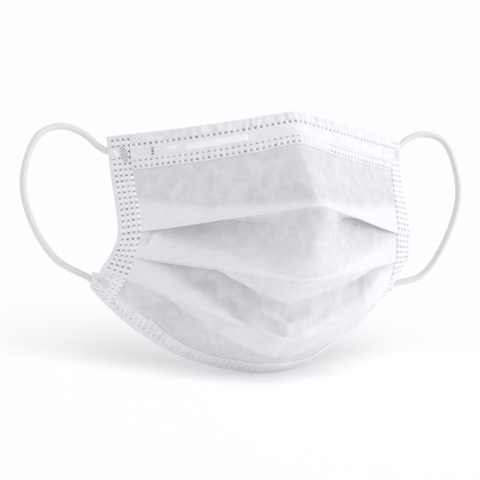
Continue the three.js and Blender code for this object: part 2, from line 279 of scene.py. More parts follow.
def pleat_opening(pleat, s):
    """How far a pleat is open: a share that is 1 at its middle, its angle, its depth behind the lip, and how
    far the lip has rolled down past the pressed fold."""
    left, right = pleat["ends"]
    middle = pleat["middle"]
    half_open = np.where(s < middle, middle - left, right - middle)
    opened = np.clip(1 - np.abs(s - middle) / half_open, 0, 1)[:, None]
    pocket = np.where(s < 0, *pleat["pockets"])[:, None]
    pocket = pocket * np.sin(np.pi * np.clip(np.abs(s) / POCKET_SHUT_AT, 0, 1))[:, None] ** POCKET_SHAPE
    shuts = np.where(s < middle, *pleat["shuts"])[:, None]
    angle = np.radians(np.maximum(pocket, pleat["opens"] * opened**shuts))
    depth = PLEAT_AT_SIDE + (pleat["deep"] - PLEAT_AT_SIDE - pleat["roll"]) * opened
    return opened, angle, np.maximum(LEAST_DEPTH, depth), LEAST_ROLL + pleat["roll"] * opened


def rolled_rise(pleat, s, run, up, onward, opened, rolled):
    """Direction up the rolled cloth, which turns toward the line below and bends in at each side."""
    turn = pleat["turn"] * opened
    rise = unit(up * (1 - turn) - onward * turn)
    bend = np.radians(np.interp(s, (-BEND_EASE, BEND_EASE), pleat["bend"]))[:, None]
    bend = bend * soft_step(rolled, LEAST_ROLL, FULL_BEND_ROLL)
    bend = bend * (1 - RIDGE_UNBENDS * ridge_at(RIDGES[-1], s))
    return np.cos(bend) * rise + np.sin(bend) * unit(np.cross(run, rise))


def lip_front(layer, angle):
    """How far a lip's front lies before the middle of its two layers, less as the pleat opens."""
    return layer / 2 * np.cos(angle / 2) ** 2


def pleat_bends(pleat, s, lip, rise, face, angle, depth, layer, after):
    """Rows of the lip's half turn, and of the inner fold: a half turn where the pleat is shut, and a bend
    toward the line below where it is open."""
    ease = 1 - bell(s, 0, RIDGE_EASE)[:, None]

    def toward(a):
        return np.cos(a) * rise - np.sin(a) * face

    def keep_side(p):
        """The point, with the lip's own place across the mask kept near the ridge."""
        return np.concatenate((lip[:, :1] + (p[:, :1] - lip[:, :1]) * ease, p[:, 1:]), axis=1)

    strip = toward(angle)
    across = toward((np.pi + angle) / 2)
    tip_out = toward((np.pi + angle) / 2 + np.pi / 2)
    tip = np.tan((np.pi - angle) / 4)
    front = lip_front(layer, angle)
    inner = lip + strip * depth - face * front
    soft = np.minimum((layer + pleat["soft"] * (angle / np.pi) ** 2) / 2, depth / 2)
    onward = unit(after - inner)
    is_open = soft_step(np.degrees(angle), *BEND_OPENS)
    lip_arc = []
    inner_arc = []
    for a in np.linspace(0, np.pi, BEND_ROWS):
        u = a / np.pi
        over = tip_out * tip * np.sin(a) - across * np.cos(a)
        lip_arc.append(keep_side(lip + face * front + layer / 2 * over))
        turned = -soft * (tip_out * tip * np.sin(a) + across * np.cos(a))
        bent = soft * (u**2 * onward - (1 - u) ** 2 * strip)
        inner_arc.append(keep_side(inner + turned * (1 - is_open) + bent * is_open))
    return lip_arc, inner_arc


def panel_stops(start, crease, out, ridge, s):
    """Stops down the panel above a fold, which hollows, stands out in a ridge and flares to the crease."""
    stops = []
    for u, height in PANEL_HOLLOW.items():
        push = bow_at(s) * height * ridge["hollow"] + ridge_at(ridge, s) * ridge["out"][u]
        if ridge is RIDGES[-1]:
            valley_at = VALLEY_FROM + (VALLEY_TO - VALLEY_FROM) * u
            push = push - bell(s, valley_at, VALLEY_WIDE)[:, None] * VALLEY[u]
        stops.append(start + (crease - start) * u + out * push)
    return stops + [crease]


def shoulder_at(back, after, lip, rise, face, angle, s):
    """Where the panel below a pleat passes behind its lip, unless the pleat is open."""
    high = dot(back - lip, rise)
    low = dot(lip - after, rise)
    shoulder = back + (after - back) * np.clip(high / (high + low), *SHOULDER_DOWN)
    behind = -dot(shoulder - lip, face)
    shut = 1 - soft_step(np.degrees(angle), *SHOULDER_OPENS)
    short_by = np.maximum(0, SHOULDER_BEHIND * pressed_at(s)[:, None] - behind)
    return shoulder - face * short_by * shut


def cloth_rows(s):
    """Rows of the panel's middle surface from top to bottom, how much each may crumple, how white it is
    from the folded pleat behind it and from painted light, and the rise of its last part."""
    top = line_at("top", s)
    hem = top + unit(line_at("hem", s) - top) * TOP_HEM
    bottom = line_at("bottom", s)
    layer = LAYER * pressed_at(s)[:, None]
    rows = []
    free = []
    backed = []

    def lay(stops, count, hidden, overlap, tucked, white):
        """Rows along a smooth panel. Its first stretch and its tucked end are hidden and stay smooth, and its
        last stretch is backed by the pleat. Painted light, by white, lightens it more toward its foot."""
        u = np.linspace(0, 1, count + 1)[:-1]
        made = spline(stops, u)
        left_over = np.linalg.norm(made - stops[-1], axis=-1)
        shown = np.sin(np.pi * np.clip((u - hidden) / (1 - hidden), 0, 1)) ** CRUMPLE_SHAPE
        rows.extend(made)
        free.extend(shown[:, None] * soft_step(left_over, tucked, tucked + TUCKED_EASE))
        backing = 1 - soft_step(left_over, overlap - OVERLAP_SOFT, overlap + OVERLAP_SOFT)
        backed.extend(np.maximum(backing, white * soft_step(u, *PAINTED_LIGHT_DOWN)[:, None]))

    def place(made, white):
        """Rows that stay smooth."""
        rows.extend(made)
        free.extend([np.zeros(len(s))] * len(made))
        backed.extend([white * np.ones(len(s))] * len(made))

    def between(start, end, count, crowd):
        """Places from start to end, crowded to the start by a power over 1."""
        return [start + (end - start) * u**crowd for u in np.linspace(0, 1, count + 2)[1:-1]]

    stops = [hem + unit(top - hem) * CLOTH_IN_HEM, hem]
    above = hem
    for pleat, ridge, panel_rows, panel_painted_light in zip(PLEATS, RIDGES, PANEL_ROWS, PANEL_PAINTED_LIGHT):
        fold = line_at(pleat["line"], s)
        after = line_at(pleat["below"], s)
        run = run_at(pleat["line"], s)
        lean = unit(np.cross(run, unit(above - fold)))
        up = unit(above - fold - lean * layer)
        out = unit(np.cross(run, up))
        opened, angle, depth, rolled = pleat_opening(pleat, s)
        rise = rolled_rise(pleat, s, run, up, unit(after - fold), opened, rolled)
        face = unit(np.cross(run, rise))
        crease = fold + out * FOLD_LIP * bow_at(s)
        lip = crease - rise * rolled
        lip_arc, inner_arc = pleat_bends(pleat, s, lip, rise, face, angle, depth, layer, after)
        # The panel down to the pressed fold, backed by the pleat at its foot
        crease = crease + out * lip_front(layer, angle)
        stops = stops + panel_stops(stops[-1], crease, out, ridge, s)
        overlap = OVERLAP_AT_SIDE + (OVERLAP_AT_MIDDLE - OVERLAP_AT_SIDE) * opened[:, 0]
        overlap = overlap * (1 + OVERLAP_GROWS * soft_step(np.abs(s), OVERLAP_GROWS_FROM, cloth_reach))
        # Painted light on the second panel, growing from the left toward the middle and right
        white = panel_painted_light * soft_step(s, *PAINTED_LIGHT_ACROSS)
        lay(stops, panel_rows, 1 / (len(stops) - 1), overlap, 0, white)
        # The rolled cloth, the lip, the strip behind it and the inner fold
        place([crease], 1.0)
        roll_rows = ROLL_ROWS if pleat["roll"] else 1
        place(between(crease, lip_arc[0], roll_rows, ROLL_CROWD), pleat["white"])
        place(lip_arc, pleat["white"])
        place(between(lip_arc[-1], inner_arc[0], STRIP_ROWS, 1), 0.0)
        place(inner_arc[:-1], 0.0)
        above = shoulder_at(inner_arc[-1], after, lip, rise, face, angle, s)
        stops = [inner_arc[-1], above]
    rise = unit(above - bottom)
    end = bottom + rise * (BOTTOM_HEM - CLOTH_IN_HEM)
    stops.extend(above + (end - above) * u for u in LAST_PANEL_STOPS)
    stops.append(end)
    lay(stops, LAST_PANEL_ROWS, LAST_PANEL_HIDDEN, np.full(len(s), CLOTH_IN_HEM), CLOTH_IN_HEM, 0)
    place([end], 1.0)
    return np.array(rows).transpose(1, 0, 2), np.array(free).T, np.array(backed).T, rise


def band_surface(sign, across, t):
    """Middle surface of a side band at distances in from its outer edge, and t from 0 at the top to 1."""
    s = sign * (HALF_WIDTH - np.asarray(across, float))
    return spline(np.stack([line_at(name, s) for name in LINES]), t)


def grid_normals(grid):
    return unit(np.cross(np.gradient(grid, axis=0), np.gradient(grid, axis=1)))


def eased_rows(values, reach):
    """Mean of each row and its neighbours, which keeps a wall from folding over at a tight bend."""
    padded = np.pad(values, ((0, 0), (reach, reach), (0, 0)), mode="edge")
    return sum(padded[:, k : k + values.shape[1]] for k in range(2 * reach + 1)) / (2 * reach + 1)


def press_flat(grid, s):
    """Presses the layers together toward the bands, which hold them flat."""
    pressed = grid.copy()
    share = FLATTENED * soft_step(np.abs(s), FLATTENED_FROM, cloth_reach)
    for column in np.flatnonzero(share):
        stops = np.stack([line_at(name, s[column]) for name in LINES])
        curve = spline(stops, np.linspace(0, 1, CURVE_POINTS))
        along = unit(np.gradient(curve, axis=0))
        near = np.linalg.norm(grid[column][:, None] - curve[None], axis=2).argmin(axis=1)
        gap = grid[column] - curve[near]
        gap = gap - along[near] * dot(gap, along[near])
        pressed[column] = grid[column] - gap * share[column]
    return pressed


def trim_to_bands(grid, s):
    """Draws each row in so that it ends just inside the bands."""
    reach = s[-1]
    for sign, edge, inward in ((-1, 0, 2), (1, -1, -3)):
        stations = band_surface(sign, [SIDE_BAND, 0], np.linspace(0, 1, RIM_POINTS))
        rim = stations[:, 0]
        out = unit(stations[:, 1] - rim)
        ends = grid[edge].copy()
        runs = unit(ends - grid[inward])
        near = np.linalg.norm(ends[:, None] - rim[None], axis=2).argmin(axis=1)
        over = (dot(ends - rim[near], out[near]) - CLOTH_IN_BAND) / dot(runs, out[near])
        t = np.maximum(0, (s * sign - TRIM_EASE_FROM) / (reach - TRIM_EASE_FROM)) ** 2
        grid = grid - (runs * over)[None] * t[:, None, None]
    return grid


def crumple(s, v):
    """Height of the soft dents and slight creases in handled cloth, in mm, at flat places s, v."""
    dents = sum(
        size * noise.noise(Vector((s / wide, v / wide, CRUMPLE_SEED + wide))) for wide, size in CRUMPLES
    )
    along, across = (s / by_s + v / by_v for by_s, by_v in CREASE_RUN)
    return dents + CREASE * (CREASE_LEVEL - abs(noise.noise(Vector((along, across, CRUMPLE_SEED)))))


def tuck(s, v):
    """Height of the cloth drawn up on both sides of the tuck's line, in mm, at flat places s, v."""
    (from_s, from_v), (to_s, to_v) = TUCK
    along = (v - from_v) / (to_v - from_v)
    beside = s - from_s - (to_s - from_s) * along
    drawn = (1 - bell(beside, 0, TUCK_LINE)) * plateau(beside, *TUCK_BESIDE)
    return TUCK_HIGH * drawn * plateau(along, *TUCK_ALONG)


def make_piece(name, points, faces, values=None):
    """Closed mesh object in metres from points in mm, with named values on its points."""
    mesh = bpy.data.meshes.new(name)
    mesh.from_pydata((np.asarray(points) / 1000).tolist(), [], faces)
    work = bmesh.new()
    work.from_mesh(mesh)
    bmesh.ops.recalc_face_normals(work, faces=work.faces)
    work.to_mesh(mesh)
    work.free()
    for key, column in (values or {}).items():
        attribute = mesh.attributes.new(key, "FLOAT", "POINT")
        attribute.data.foreach_set("value", np.asarray(column, np.float32).ravel())
    mesh.shade_smooth()
    piece = bpy.data.objects.new(name, mesh)
    bpy.context.scene.collection.objects.link(piece)
    return piece


def sheet_faces(columns, rows):
    """Faces of a wall with a front and a back grid and a rim between them."""
    base = columns * rows
    at = np.arange(base).reshape(columns, rows)
    quads = np.stack((at[:-1, :-1], at[1:, :-1], at[1:, 1:], at[:-1, 1:]), axis=-1).reshape(-1, 4)
    rim = np.concatenate((at[0, :-1], at[:-1, -1], at[-1, :0:-1], at[:0:-1, 0]))
    nxt = np.roll(rim, -1)
    edge = np.stack((rim, nxt, nxt + base, rim + base), axis=-1)
    return np.concatenate((quads, quads[:, ::-1] + base, edge)).tolist()


def to_linear(code):
    """Linear colour of an sRGB hex value."""
    parts = [int(code[i : i + 2], 16) / 255 for i in (1, 3, 5)]
    return [c / 12.92 if c <= 0.04045 else ((c + 0.055) / 1.055) ** 2.4 for c in parts] + [1.0]


def add(tree, kind, inputs=None, **settings):
    """Node with its settings. An input is set, or linked from a socket or a node's first output in use."""
    node = tree.nodes.new(kind)
    for key, value in settings.items():
        setattr(node, key, value)
    for key, value in (inputs or {}).items():
        if isinstance(value, bpy.types.Node):
            value = next(out for out in value.outputs if out.enabled)
        if isinstance(value, bpy.types.NodeSocket):
            tree.links.new(value, node.inputs[key])
        else:
            node.inputs[key].default_value = value
    return node


# Sizes that the cloth's patterns are drawn at: clouds of thicker fibres, and fibres and bond points, both
# coarser than life so that they show
CLOUD_WIDE = 5.0
FIBRE_WIDE = 0.9
BONDS_APART = 1.5


def nonwoven(name, shade, light, thick, film_and_dent_shade):
    """Spunbond polypropylene: matte, faintly cloudy where fibres lie thicker, and pricked with bond points.
    It is whitest where it stands thick, by its puff value, which on the panel also carries painted light, and
    a darker, smoother film where its weld value is 1. The film's dark colour is partly the melted film's own
    grey and partly painted shade in the weld dents. A Mix node's inputs 6 and 7 are its two colours."""
    material = bpy.data.materials.new(name)
    material.use_nodes = True
    tree = material.node_tree
    surface = tree.nodes["Principled BSDF"]
    place = add(tree, "ShaderNodeTexCoord").outputs["Object"]
    cloud_scale = {"Vector": place, "Scale": 1000 / CLOUD_WIDE, "Detail": 5.0, "Roughness": 0.62}
    fibre_scale = {"Vector": place, "Scale": 1000 / FIBRE_WIDE, "Detail": 4.0, "Roughness": 0.6}
    clouds = add(tree, "ShaderNodeTexNoise", cloud_scale)
    fibres = add(tree, "ShaderNodeTexNoise", fibre_scale)
    bonds = add(tree, "ShaderNodeTexVoronoi", {"Vector": place, "Scale": 1000 / BONDS_APART})
    grain = add(tree, "ShaderNodeMath", {0: fibres, 1: 0.4, 2: clouds}, operation="MULTIPLY_ADD")
    tone = add(tree, "ShaderNodeMapRange", {"Value": grain, "From Min": 0.48, "From Max": 0.92})
    cloth = add(tree, "ShaderNodeMix", {0: tone, 6: to_linear(shade), 7: to_linear(light)}, data_type="RGBA")
    puff = add(tree, "ShaderNodeAttribute", attribute_name="puff").outputs["Fac"]
    fluff = add(tree, "ShaderNodeMapRange", {"Value": puff, "To Max": 0.7})
    fluffed = add(tree, "ShaderNodeMix", {0: fluff, 6: cloth, 7: to_linear(thick)}, data_type="RGBA")
    weld = add(tree, "ShaderNodeAttribute", attribute_name="weld").outputs["Fac"]
    colour = add(tree, "ShaderNodeMix", {0: weld, 6: fluffed, 7: to_linear(film_and_dent_shade)}, data_type="RGBA")
    gloss = add(tree, "ShaderNodeMapRange", {"Value": weld, "To Min": 0.9, "To Max": 0.45})
    pit = add(tree, "ShaderNodeMapRange", {"Value": bonds, "From Min": 0.0, "From Max": 0.35})
    fine = add(tree, "ShaderNodeBump", {"Height": fibres, "Strength": 0.4, "Distance": 0.0002})
    bumps = add(tree, "ShaderNodeBump", {"Height": pit, "Strength": 0.2, "Distance": 0.0001, "Normal": fine})
    tree.links.new(colour.outputs[2], surface.inputs["Base Color"])
    tree.links.new(gloss.outputs[0], surface.inputs["Roughness"])
    tree.links.new(bumps.outputs[0], surface.inputs["Normal"])
    surface.inputs["Sheen Weight"].default_value = 0.1
    surface.inputs["IOR"].default_value = 1.49
    surface.inputs["Specular IOR Level"].default_value = 0.25
    return material


half_columns = cloth_reach * np.linspace(0, 1, PANEL_COLUMNS_PER_HALF + 1) ** COLUMN_CROWD
panel_s = np.concatenate((-half_columns[:0:-1], half_columns))
panel_grid, panel_free, panel_whiteness_and_painted_light, _ = cloth_rows(panel_s)
panel_grid = trim_to_bands(press_flat(panel_grid, panel_s), panel_s)
panel_v = lengths(panel_grid[FLAT_COLUMN])
side_fade = soft_step(cloth_reach - np.abs(panel_s), *CRUMPLE_FADE)
dents = np.array([[crumple(s, v) for v in panel_v] for s in panel_s])
raised = dents * side_fade[:, None] * panel_free + tuck(panel_s[:, None], panel_v[None])
panel_grid = panel_grid - grid_normals(panel_grid) * raised[..., None]
panel_normals = -eased_rows(grid_normals(panel_grid), NORMAL_EASE)
panel_half_wall = panel_normals * CLOTH_WALL / 2 * pressed_at(panel_s)[:, None, None]
panel_points = np.concatenate([(panel_grid + panel_half_wall * side).reshape(-1, 3) for side in (1, -1)])
# Its puff value carries the whitening where the pleats back the panel, and the painted light on the second
# panel
panel_values = {"puff": np.concatenate((panel_whiteness_and_painted_light, panel_whiteness_and_painted_light))}
panel = make_piece("pleated_panel", panel_points, sheet_faces(*panel_grid.shape[:2]), panel_values)
panel.data.materials.append(nonwoven("spunbond_polypropylene", "#d4d4d8", "#e5e5e9", "#f2f2f5", "#84848c"))
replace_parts(panel, "mask_body")
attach(panel, "root")


# Nose wire
# Two soft steel wires in a flat white plastic strip, bent over the nose by hand.
# It lies loose in the channel between the first two weld rows of the top hem.
WIRE_HALF_LENGTH = 60.0
WIRE_BELOW_EDGE = 6.3
WIRE_WIDE = 4.0
WIRE_CORE_RADIUS = 0.48
WIRE_WEB = 0.3
WIRE_CORE_SHAPE = 0.7
WIRE_RINGS = 181
WIRE_SIDES = 40
COAT_CLOUD_WIDE = 0.6


def hem_frame(line, s, inward):
    """Edge points of a hem, and its outward direction at each."""
    out = unit(np.cross(run_at(line, s), inward))
    return line_at(line, s), np.where(out[:, 1:2] > 0, -out, out)


def strip_points(edge, inward, out, depth, height):
    """Rings of a strip's outline, at depths in from the edge and heights off its middle."""
    return edge[:, None] + inward[:, None] * depth[..., None] + out[:, None] * height[..., None]


def strip_faces(rings, around):
    """Faces of a closed strip: its sides and both ends."""
    at = np.arange(rings * around).reshape(rings, around)
    nxt = np.roll(at, -1, axis=1)
    sides = np.stack((at[:-1], nxt[:-1], nxt[1:], at[1:]), axis=-1).reshape(-1, 4)
    return sides.tolist() + [at[0].tolist(), at[-1, ::-1].tolist()]


def top_inward(s):
    return unit(line_at("hem", s) - line_at("top", s))


wire_s = np.linspace(-WIRE_HALF_LENGTH, WIRE_HALF_LENGTH, WIRE_RINGS)
# Its section is round over the two wires, and thinner in the web between them
wire_turn = np.linspace(0, 2 * np.pi, WIRE_SIDES, endpoint=False)
wire_across = (WIRE_WIDE / 2 - WIRE_CORE_RADIUS) * np.cos(wire_turn)
wire_across = wire_across + WIRE_CORE_RADIUS * np.cos(wire_turn) ** 3
core = np.sin(np.pi * np.abs(np.cos(wire_turn)) ** WIRE_CORE_SHAPE)
wire_height = np.sin(wire_turn) * (WIRE_WEB + (WIRE_CORE_RADIUS - WIRE_WEB) * core)
wire_inward = top_inward(wire_s)
wire_edge, wire_out = hem_frame("top", wire_s, wire_inward)
wire_depths = np.tile(WIRE_BELOW_EDGE + WIRE_WIDE / 2 + wire_across, (WIRE_RINGS, 1))
wire_heights = np.tile(wire_height, (WIRE_RINGS, 1))
wire_points = strip_points(wire_edge, wire_inward, wire_out, wire_depths, wire_heights)
wire = make_piece("nose_wire_strip", wire_points.reshape(-1, 3), strip_faces(WIRE_RINGS, WIRE_SIDES))
# Extruded polyethylene: smooth, waxy white and faintly cloudy
coating = bpy.data.materials.new("extruded_polyethylene")
coating.use_nodes = True
coat_tree = coating.node_tree
coat_place = add(coat_tree, "ShaderNodeTexCoord").outputs["Object"]
coat_scale = {"Vector": coat_place, "Scale": 1000 / COAT_CLOUD_WIDE, "Detail": 2.0}
coat_clouds = add(coat_tree, "ShaderNodeTexNoise", coat_scale)
coat_tone = add(
    coat_tree,
    "ShaderNodeMix",
    {0: coat_clouds, 6: to_linear("#e4e4e6"), 7: to_linear("#efeff0")},
    data_type="RGBA",
)
coat_surface = coat_tree.nodes["Principled BSDF"]
coat_tree.links.new(coat_tone.outputs[2], coat_surface.inputs["Base Color"])
coat_surface.inputs["Roughness"].default_value = 0.4
coat_surface.inputs["IOR"].default_value = 1.51
wire.data.materials.append(coating)
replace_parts(wire, "nose_wire")
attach(wire, "root")


# Top hem
# A strip of the same cloth folded over the panel's top edge, with the wire in the fold.
# Three rows of hot weld dots fix it: one above the wire and two below it.

# Layers: a leaf's thickness, half the slot between two leaves, and how far free edge and ends are pressed
HEM_LEAF = 0.42
HEM_SLOT = 0.33
HEM_EDGE = 0.3
HEM_EDGE_WIDE = 1.0
HEM_THINNED = 0.25
HEM_THINNED_WITHIN = 5.0
# The wire's channel: depths where its front and its slot open and shut, and how far it stands out and back
CHANNEL = (5.6, 6.3, 10.5, 11.2)
CHANNEL_SLOT = (5.4, 6.0, 10.5, 11.0)
CHANNEL_OUT = 0.15
CHANNEL_BACK = 0.3
WIRE_ROOM = 0.56
POCKET_PAST_WIRE = 0.4
# Where the wire pushes the cloth up: how far, the strip's depths, stretches along it (from, to, how gently
# each starts, and how far), and a bump over its left end, along and down, by place and half size
WIRE_RAISE = 0.8
WIRE_STRIP = (7.3, 10.3)
WIRE_STRIP_SOFT = 0.4
WIRE_RAISED = ((-52.5, -24.0, 2.0, 1.0), (-1.0, 63.5, 0.8, 0.2))
WIRE_RAISED_END = 0.3
WIRE_BUMP_ALONG = (-58.5, 3.2)
WIRE_BUMP_DOWN = (8.2, 1.1)
# Wrinkles in the folded edge: their height, the depths they lie between, and each set's share, its lengths
# along and down and its seed. One sharp crease, by place and half size, is a ridge beside a dip
EDGE_WRINKLE = 0.85
EDGE_BAND = (0.3, 1.2, 3.6, 4.8)
FRONT_WRINKLES = ((1.0, 2.6, 5.0, 11.0), (0.6, 6.0, 9.0, 12.0))
BACK_WRINKLES = ((0.6, 3.0, 5.0, 21.0),)
EDGE_CREASE = 0.4
EDGE_CREASE_RIDGE = (-20.8, 0.8)
EDGE_CREASE_DIP = (-22.0, 0.7)
# Rows of weld dots by their depth, and the dots' sizes
TOP_ROWS = (5.0, 12.0, 14.8)
DOT_PITCH = 2.6
DOT_SIZE = 0.75
DOT_LENGTH = 1.15
DOT_DEPTH = 0.4
DOT_PUFF = 0.28
# How dark the dots are made: partly the melted film's own grey, partly painted shade in the dents
TOP_FILM = 0.8
HEM_END_CLEAR = 0.6
# The dots are pressed less right of the middle, and least beside the ridge, where the wire holds them off
PRESSED_LESS = 0.3
PRESSED_LESS_FROM = (0.0, 6.0)
HELD_OFF = 0.85
HELD_OFF_ALONG = (-2.0, 4.0, 14.0, 24.0)
HELD_OFF_DOWN = (9.0, 11.0)
# A short column of dots shuts the channel at each end, and shows less on the right
CHANNEL_ROWS = (7.3, 8.6, 9.9)
CHANNEL_WELD_AT = 68.0
CHANNEL_WELD_HALF = 0.9
CHANNEL_WELD_DEPTH = 0.26
CHANNEL_FILM = {-1: 1.0, 1: 0.25}
# Mesh: steps to a dot, spacing of lines apart from and near a weld row, the rounded edge, lip and pocket
STEPS_PER_DOT = 10
LINES_APART = 0.7
ROW_LINES_APART = 0.19
ROW_REACH = 0.75
FACE_FROM = 0.45
EDGE_LINE = 0.15
EDGE_ROUND = 0.72
LIP_PAST = 0.05
POCKET_LINES = 10
ARC_POINTS = 4001


def new_tree(name, sizes):
    """Geometry Nodes tree with a named input for each size, and the sockets of those inputs."""
    tree = bpy.data.node_groups.new(name, "GeometryNodeTree")
    kinds = {"Geometry": "NodeSocketGeometry", "Seed": "NodeSocketInt", "Material": "NodeSocketMaterial"}
    for label in ("Geometry", *sizes, "Material"):
        kind = kinds.get(label, "NodeSocketFloat")
        tree.interface.new_socket(label, in_out="INPUT", socket_type=kind)
    tree.interface.new_socket("Geometry", in_out="OUTPUT", socket_type="NodeSocketGeometry")
    return tree, add(tree, "NodeGroupInput").outputs


def push_out(tree, geometry, lift, metres):
    """Moves the surface along its normals by lift, in units of so many metres."""
    far = add(tree, "ShaderNodeMath", {0: lift, 1: metres}, operation="MULTIPLY")
    normal = add(tree, "GeometryNodeInputNormal")
    offset = add(tree, "ShaderNodeVectorMath", {0: normal, "Scale": far}, operation="SCALE")
    return add(tree, "GeometryNodeSetPosition", {"Geometry": geometry, "Offset": offset})


def finish_tree(tree, geometry, material):
    """Ends a tree: instances are made real, and the material is set."""
    whole = add(tree, "GeometryNodeRealizeInstances", {"Geometry": geometry})
    dressed = add(tree, "GeometryNodeSetMaterial", {"Geometry": whole, "Material": material})
    add(tree, "NodeGroupOutput", {"Geometry": dressed})


def weld_dots_tree():
    """Tree that presses rows of weld dots into a strip by its along and across values, in mm."""
    rows = ("First row", "Row pitch", "Last row")
    dots = ("Dot pitch", "First dot", "Dot size", "Dot length", "Depth", "Puff", "Film")
    tree, size = new_tree("weld_dots", rows + dots + ("From", "To", "Seed"))
    along, across, pressed, weld, puff = (
        add(tree, "GeometryNodeInputNamedAttribute", {"Name": label})
        for label in ("along", "across", "pressed", "weld", "puff")
    )
    # Distance from the nearest row and from the nearest dot along it
    half_row, half_pitch, half_dot, half_length = (
        add(tree, "ShaderNodeMath", {0: size[label], 1: 2.0}, operation="DIVIDE")
        for label in ("Row pitch", "Dot pitch", "Dot size", "Dot length")
    )
    longer = add(tree, "ShaderNodeMath", {0: half_length, 1: half_dot}, operation="SUBTRACT")
    down = add(tree, "ShaderNodeMath", {0: across, 1: size["First row"]}, operation="SUBTRACT")
    forth = add(tree, "ShaderNodeMath", {0: along, 1: size["First dot"]}, operation="SUBTRACT")
    from_row = add(tree, "ShaderNodeMath", {0: down, 1: half_row}, operation="PINGPONG")
    from_dot = add(tree, "ShaderNodeMath", {0: forth, 1: half_pitch}, operation="PINGPONG")
    # Places that belong to the rows and lie between the two ends
    middle = add(tree, "ShaderNodeMath", {0: size["Last row"], 1: half_row}, operation="MULTIPLY")
    spread_by = add(tree, "ShaderNodeMath", {0: middle, 1: half_row}, operation="ADD")
    in_rows = add(tree, "ShaderNodeMath", {0: down, 1: middle, 2: spread_by}, operation="COMPARE")
    past = add(tree, "ShaderNodeMath", {0: along, 1: size["From"]}, operation="GREATER_THAN")
    before = add(tree, "ShaderNodeMath", {0: along, 1: size["To"]}, operation="LESS_THAN")
    in_length = add(tree, "ShaderNodeMath", {0: past, 1: before}, operation="MULTIPLY")
    in_both = add(tree, "ShaderNodeMath", {0: in_rows, 1: in_length}, operation="MULTIPLY")
    inside = add(tree, "ShaderNodeMath", {0: in_both, 1: pressed}, operation="MULTIPLY")
    # A dot is a dash with corners rounded over 0.3 mm, its rim at 1.4 and its bed at 0.6 of its half size,
    # and the cloth puffs up between dots
    smooth = {"interpolation_type": "SMOOTHSTEP"}
    from_end = add(tree, "ShaderNodeMath", {0: from_dot, 1: longer}, operation="SUBTRACT")
    square = add(tree, "ShaderNodeMath", {0: from_row, 1: from_end, 2: 0.3}, operation="SMOOTH_MAX")
    rim = add(tree, "ShaderNodeMath", {0: half_dot, 1: 1.4}, operation="MULTIPLY")
    bed = add(tree, "ShaderNodeMath", {0: half_dot, 1: 0.6}, operation="MULTIPLY")
    dent_range = {"Value": square, "From Min": rim, "From Max": bed}
    crest_range = {"Value": from_dot, "From Min": half_length, "From Max": half_pitch}
    beside_range = {"Value": from_row, "From Min": size["Dot size"], "From Max": 0.0}
    dent = add(tree, "ShaderNodeMapRange", dent_range, **smooth)
    crest = add(tree, "ShaderNodeMapRange", crest_range, **smooth)
    beside = add(tree, "ShaderNodeMapRange", beside_range, **smooth)
    swell = add(tree, "ShaderNodeMath", {0: crest, 1: beside}, operation="MULTIPLY")
    # Each dot is sunk by its own random amount, by its number and its row's
    dots_along = add(tree, "ShaderNodeMath", {0: forth, 1: size["Dot pitch"]}, operation="DIVIDE")
    rows_down = add(tree, "ShaderNodeMath", {0: down, 1: size["Row pitch"]}, operation="DIVIDE")
    dot_number = add(tree, "ShaderNodeMath", {0: dots_along}, operation="ROUND")
    row_number = add(tree, "ShaderNodeMath", {0: rows_down}, operation="ROUND")
    which = add(tree, "ShaderNodeMath", {0: row_number, 1: 1000.0, 2: dot_number}, operation="MULTIPLY_ADD")
    least_and_most = {2: 0.6, 3: 1.0}
    drawn_by = {"ID": which, "Seed": size["Seed"], **least_and_most}
    vary = add(tree, "FunctionNodeRandomValue", drawn_by, data_type="FLOAT")
    dented = add(tree, "ShaderNodeMath", {0: dent, 1: vary}, operation="MULTIPLY")
    sunk = add(tree, "ShaderNodeMath", {0: dented, 1: size["Depth"]}, operation="MULTIPLY")
    raised = add(tree, "ShaderNodeMath", {0: swell, 1: size["Puff"]}, operation="MULTIPLY")
    level = add(tree, "ShaderNodeMath", {0: raised, 1: sunk}, operation="SUBTRACT")
    lift = add(tree, "ShaderNodeMath", {0: level, 1: inside}, operation="MULTIPLY")
    moved = push_out(tree, size["Geometry"], lift, 0.001)
    # How far the cloth is melted or fluffed, for its colour: the melt darkens it, partly with the film's own
    # grey and partly with painted shade in the dents
    melted = add(tree, "ShaderNodeMath", {0: dented, 1: inside}, operation="MULTIPLY")
    filmed = add(tree, "ShaderNodeMath", {0: melted, 1: size["Film"]}, operation="MULTIPLY")
    film_and_dent_shade = add(tree, "ShaderNodeMath", {0: weld, 1: filmed}, operation="MAXIMUM")
    fluffed = add(tree, "ShaderNodeMath", {0: swell, 1: inside}, operation="MULTIPLY")
    fluff = add(tree, "ShaderNodeMath", {0: puff, 1: fluffed}, operation="MAXIMUM")
    marked = add(tree, "GeometryNodeStoreNamedAttribute", {"Geometry": moved, "Name": "weld", "Value": film_and_dent_shade})
    noted = add(tree, "GeometryNodeStoreNamedAttribute", {"Geometry": marked, "Name": "puff", "Value": fluff})
    finish_tree(tree, noted, size["Material"])
    return tree


def press(piece, tree, passes):
    """Runs the tree once for each set of inputs, and leaves the result as the piece's own mesh."""
    sockets = {item.name: item.identifier for item in tree.interface.items_tree if item.in_out == "INPUT"}
    for sizes in passes:
        modifier = piece.modifiers.new(tree.name, "NODES")
        modifier.node_group = tree
        for label, value in sizes.items():
            modifier[sockets[label]] = value
    made = bpy.data.meshes.new_from_object(piece.evaluated_get(bpy.context.evaluated_depsgraph_get()))
    piece.modifiers.clear()
    piece.data = made
    made.shade_smooth()


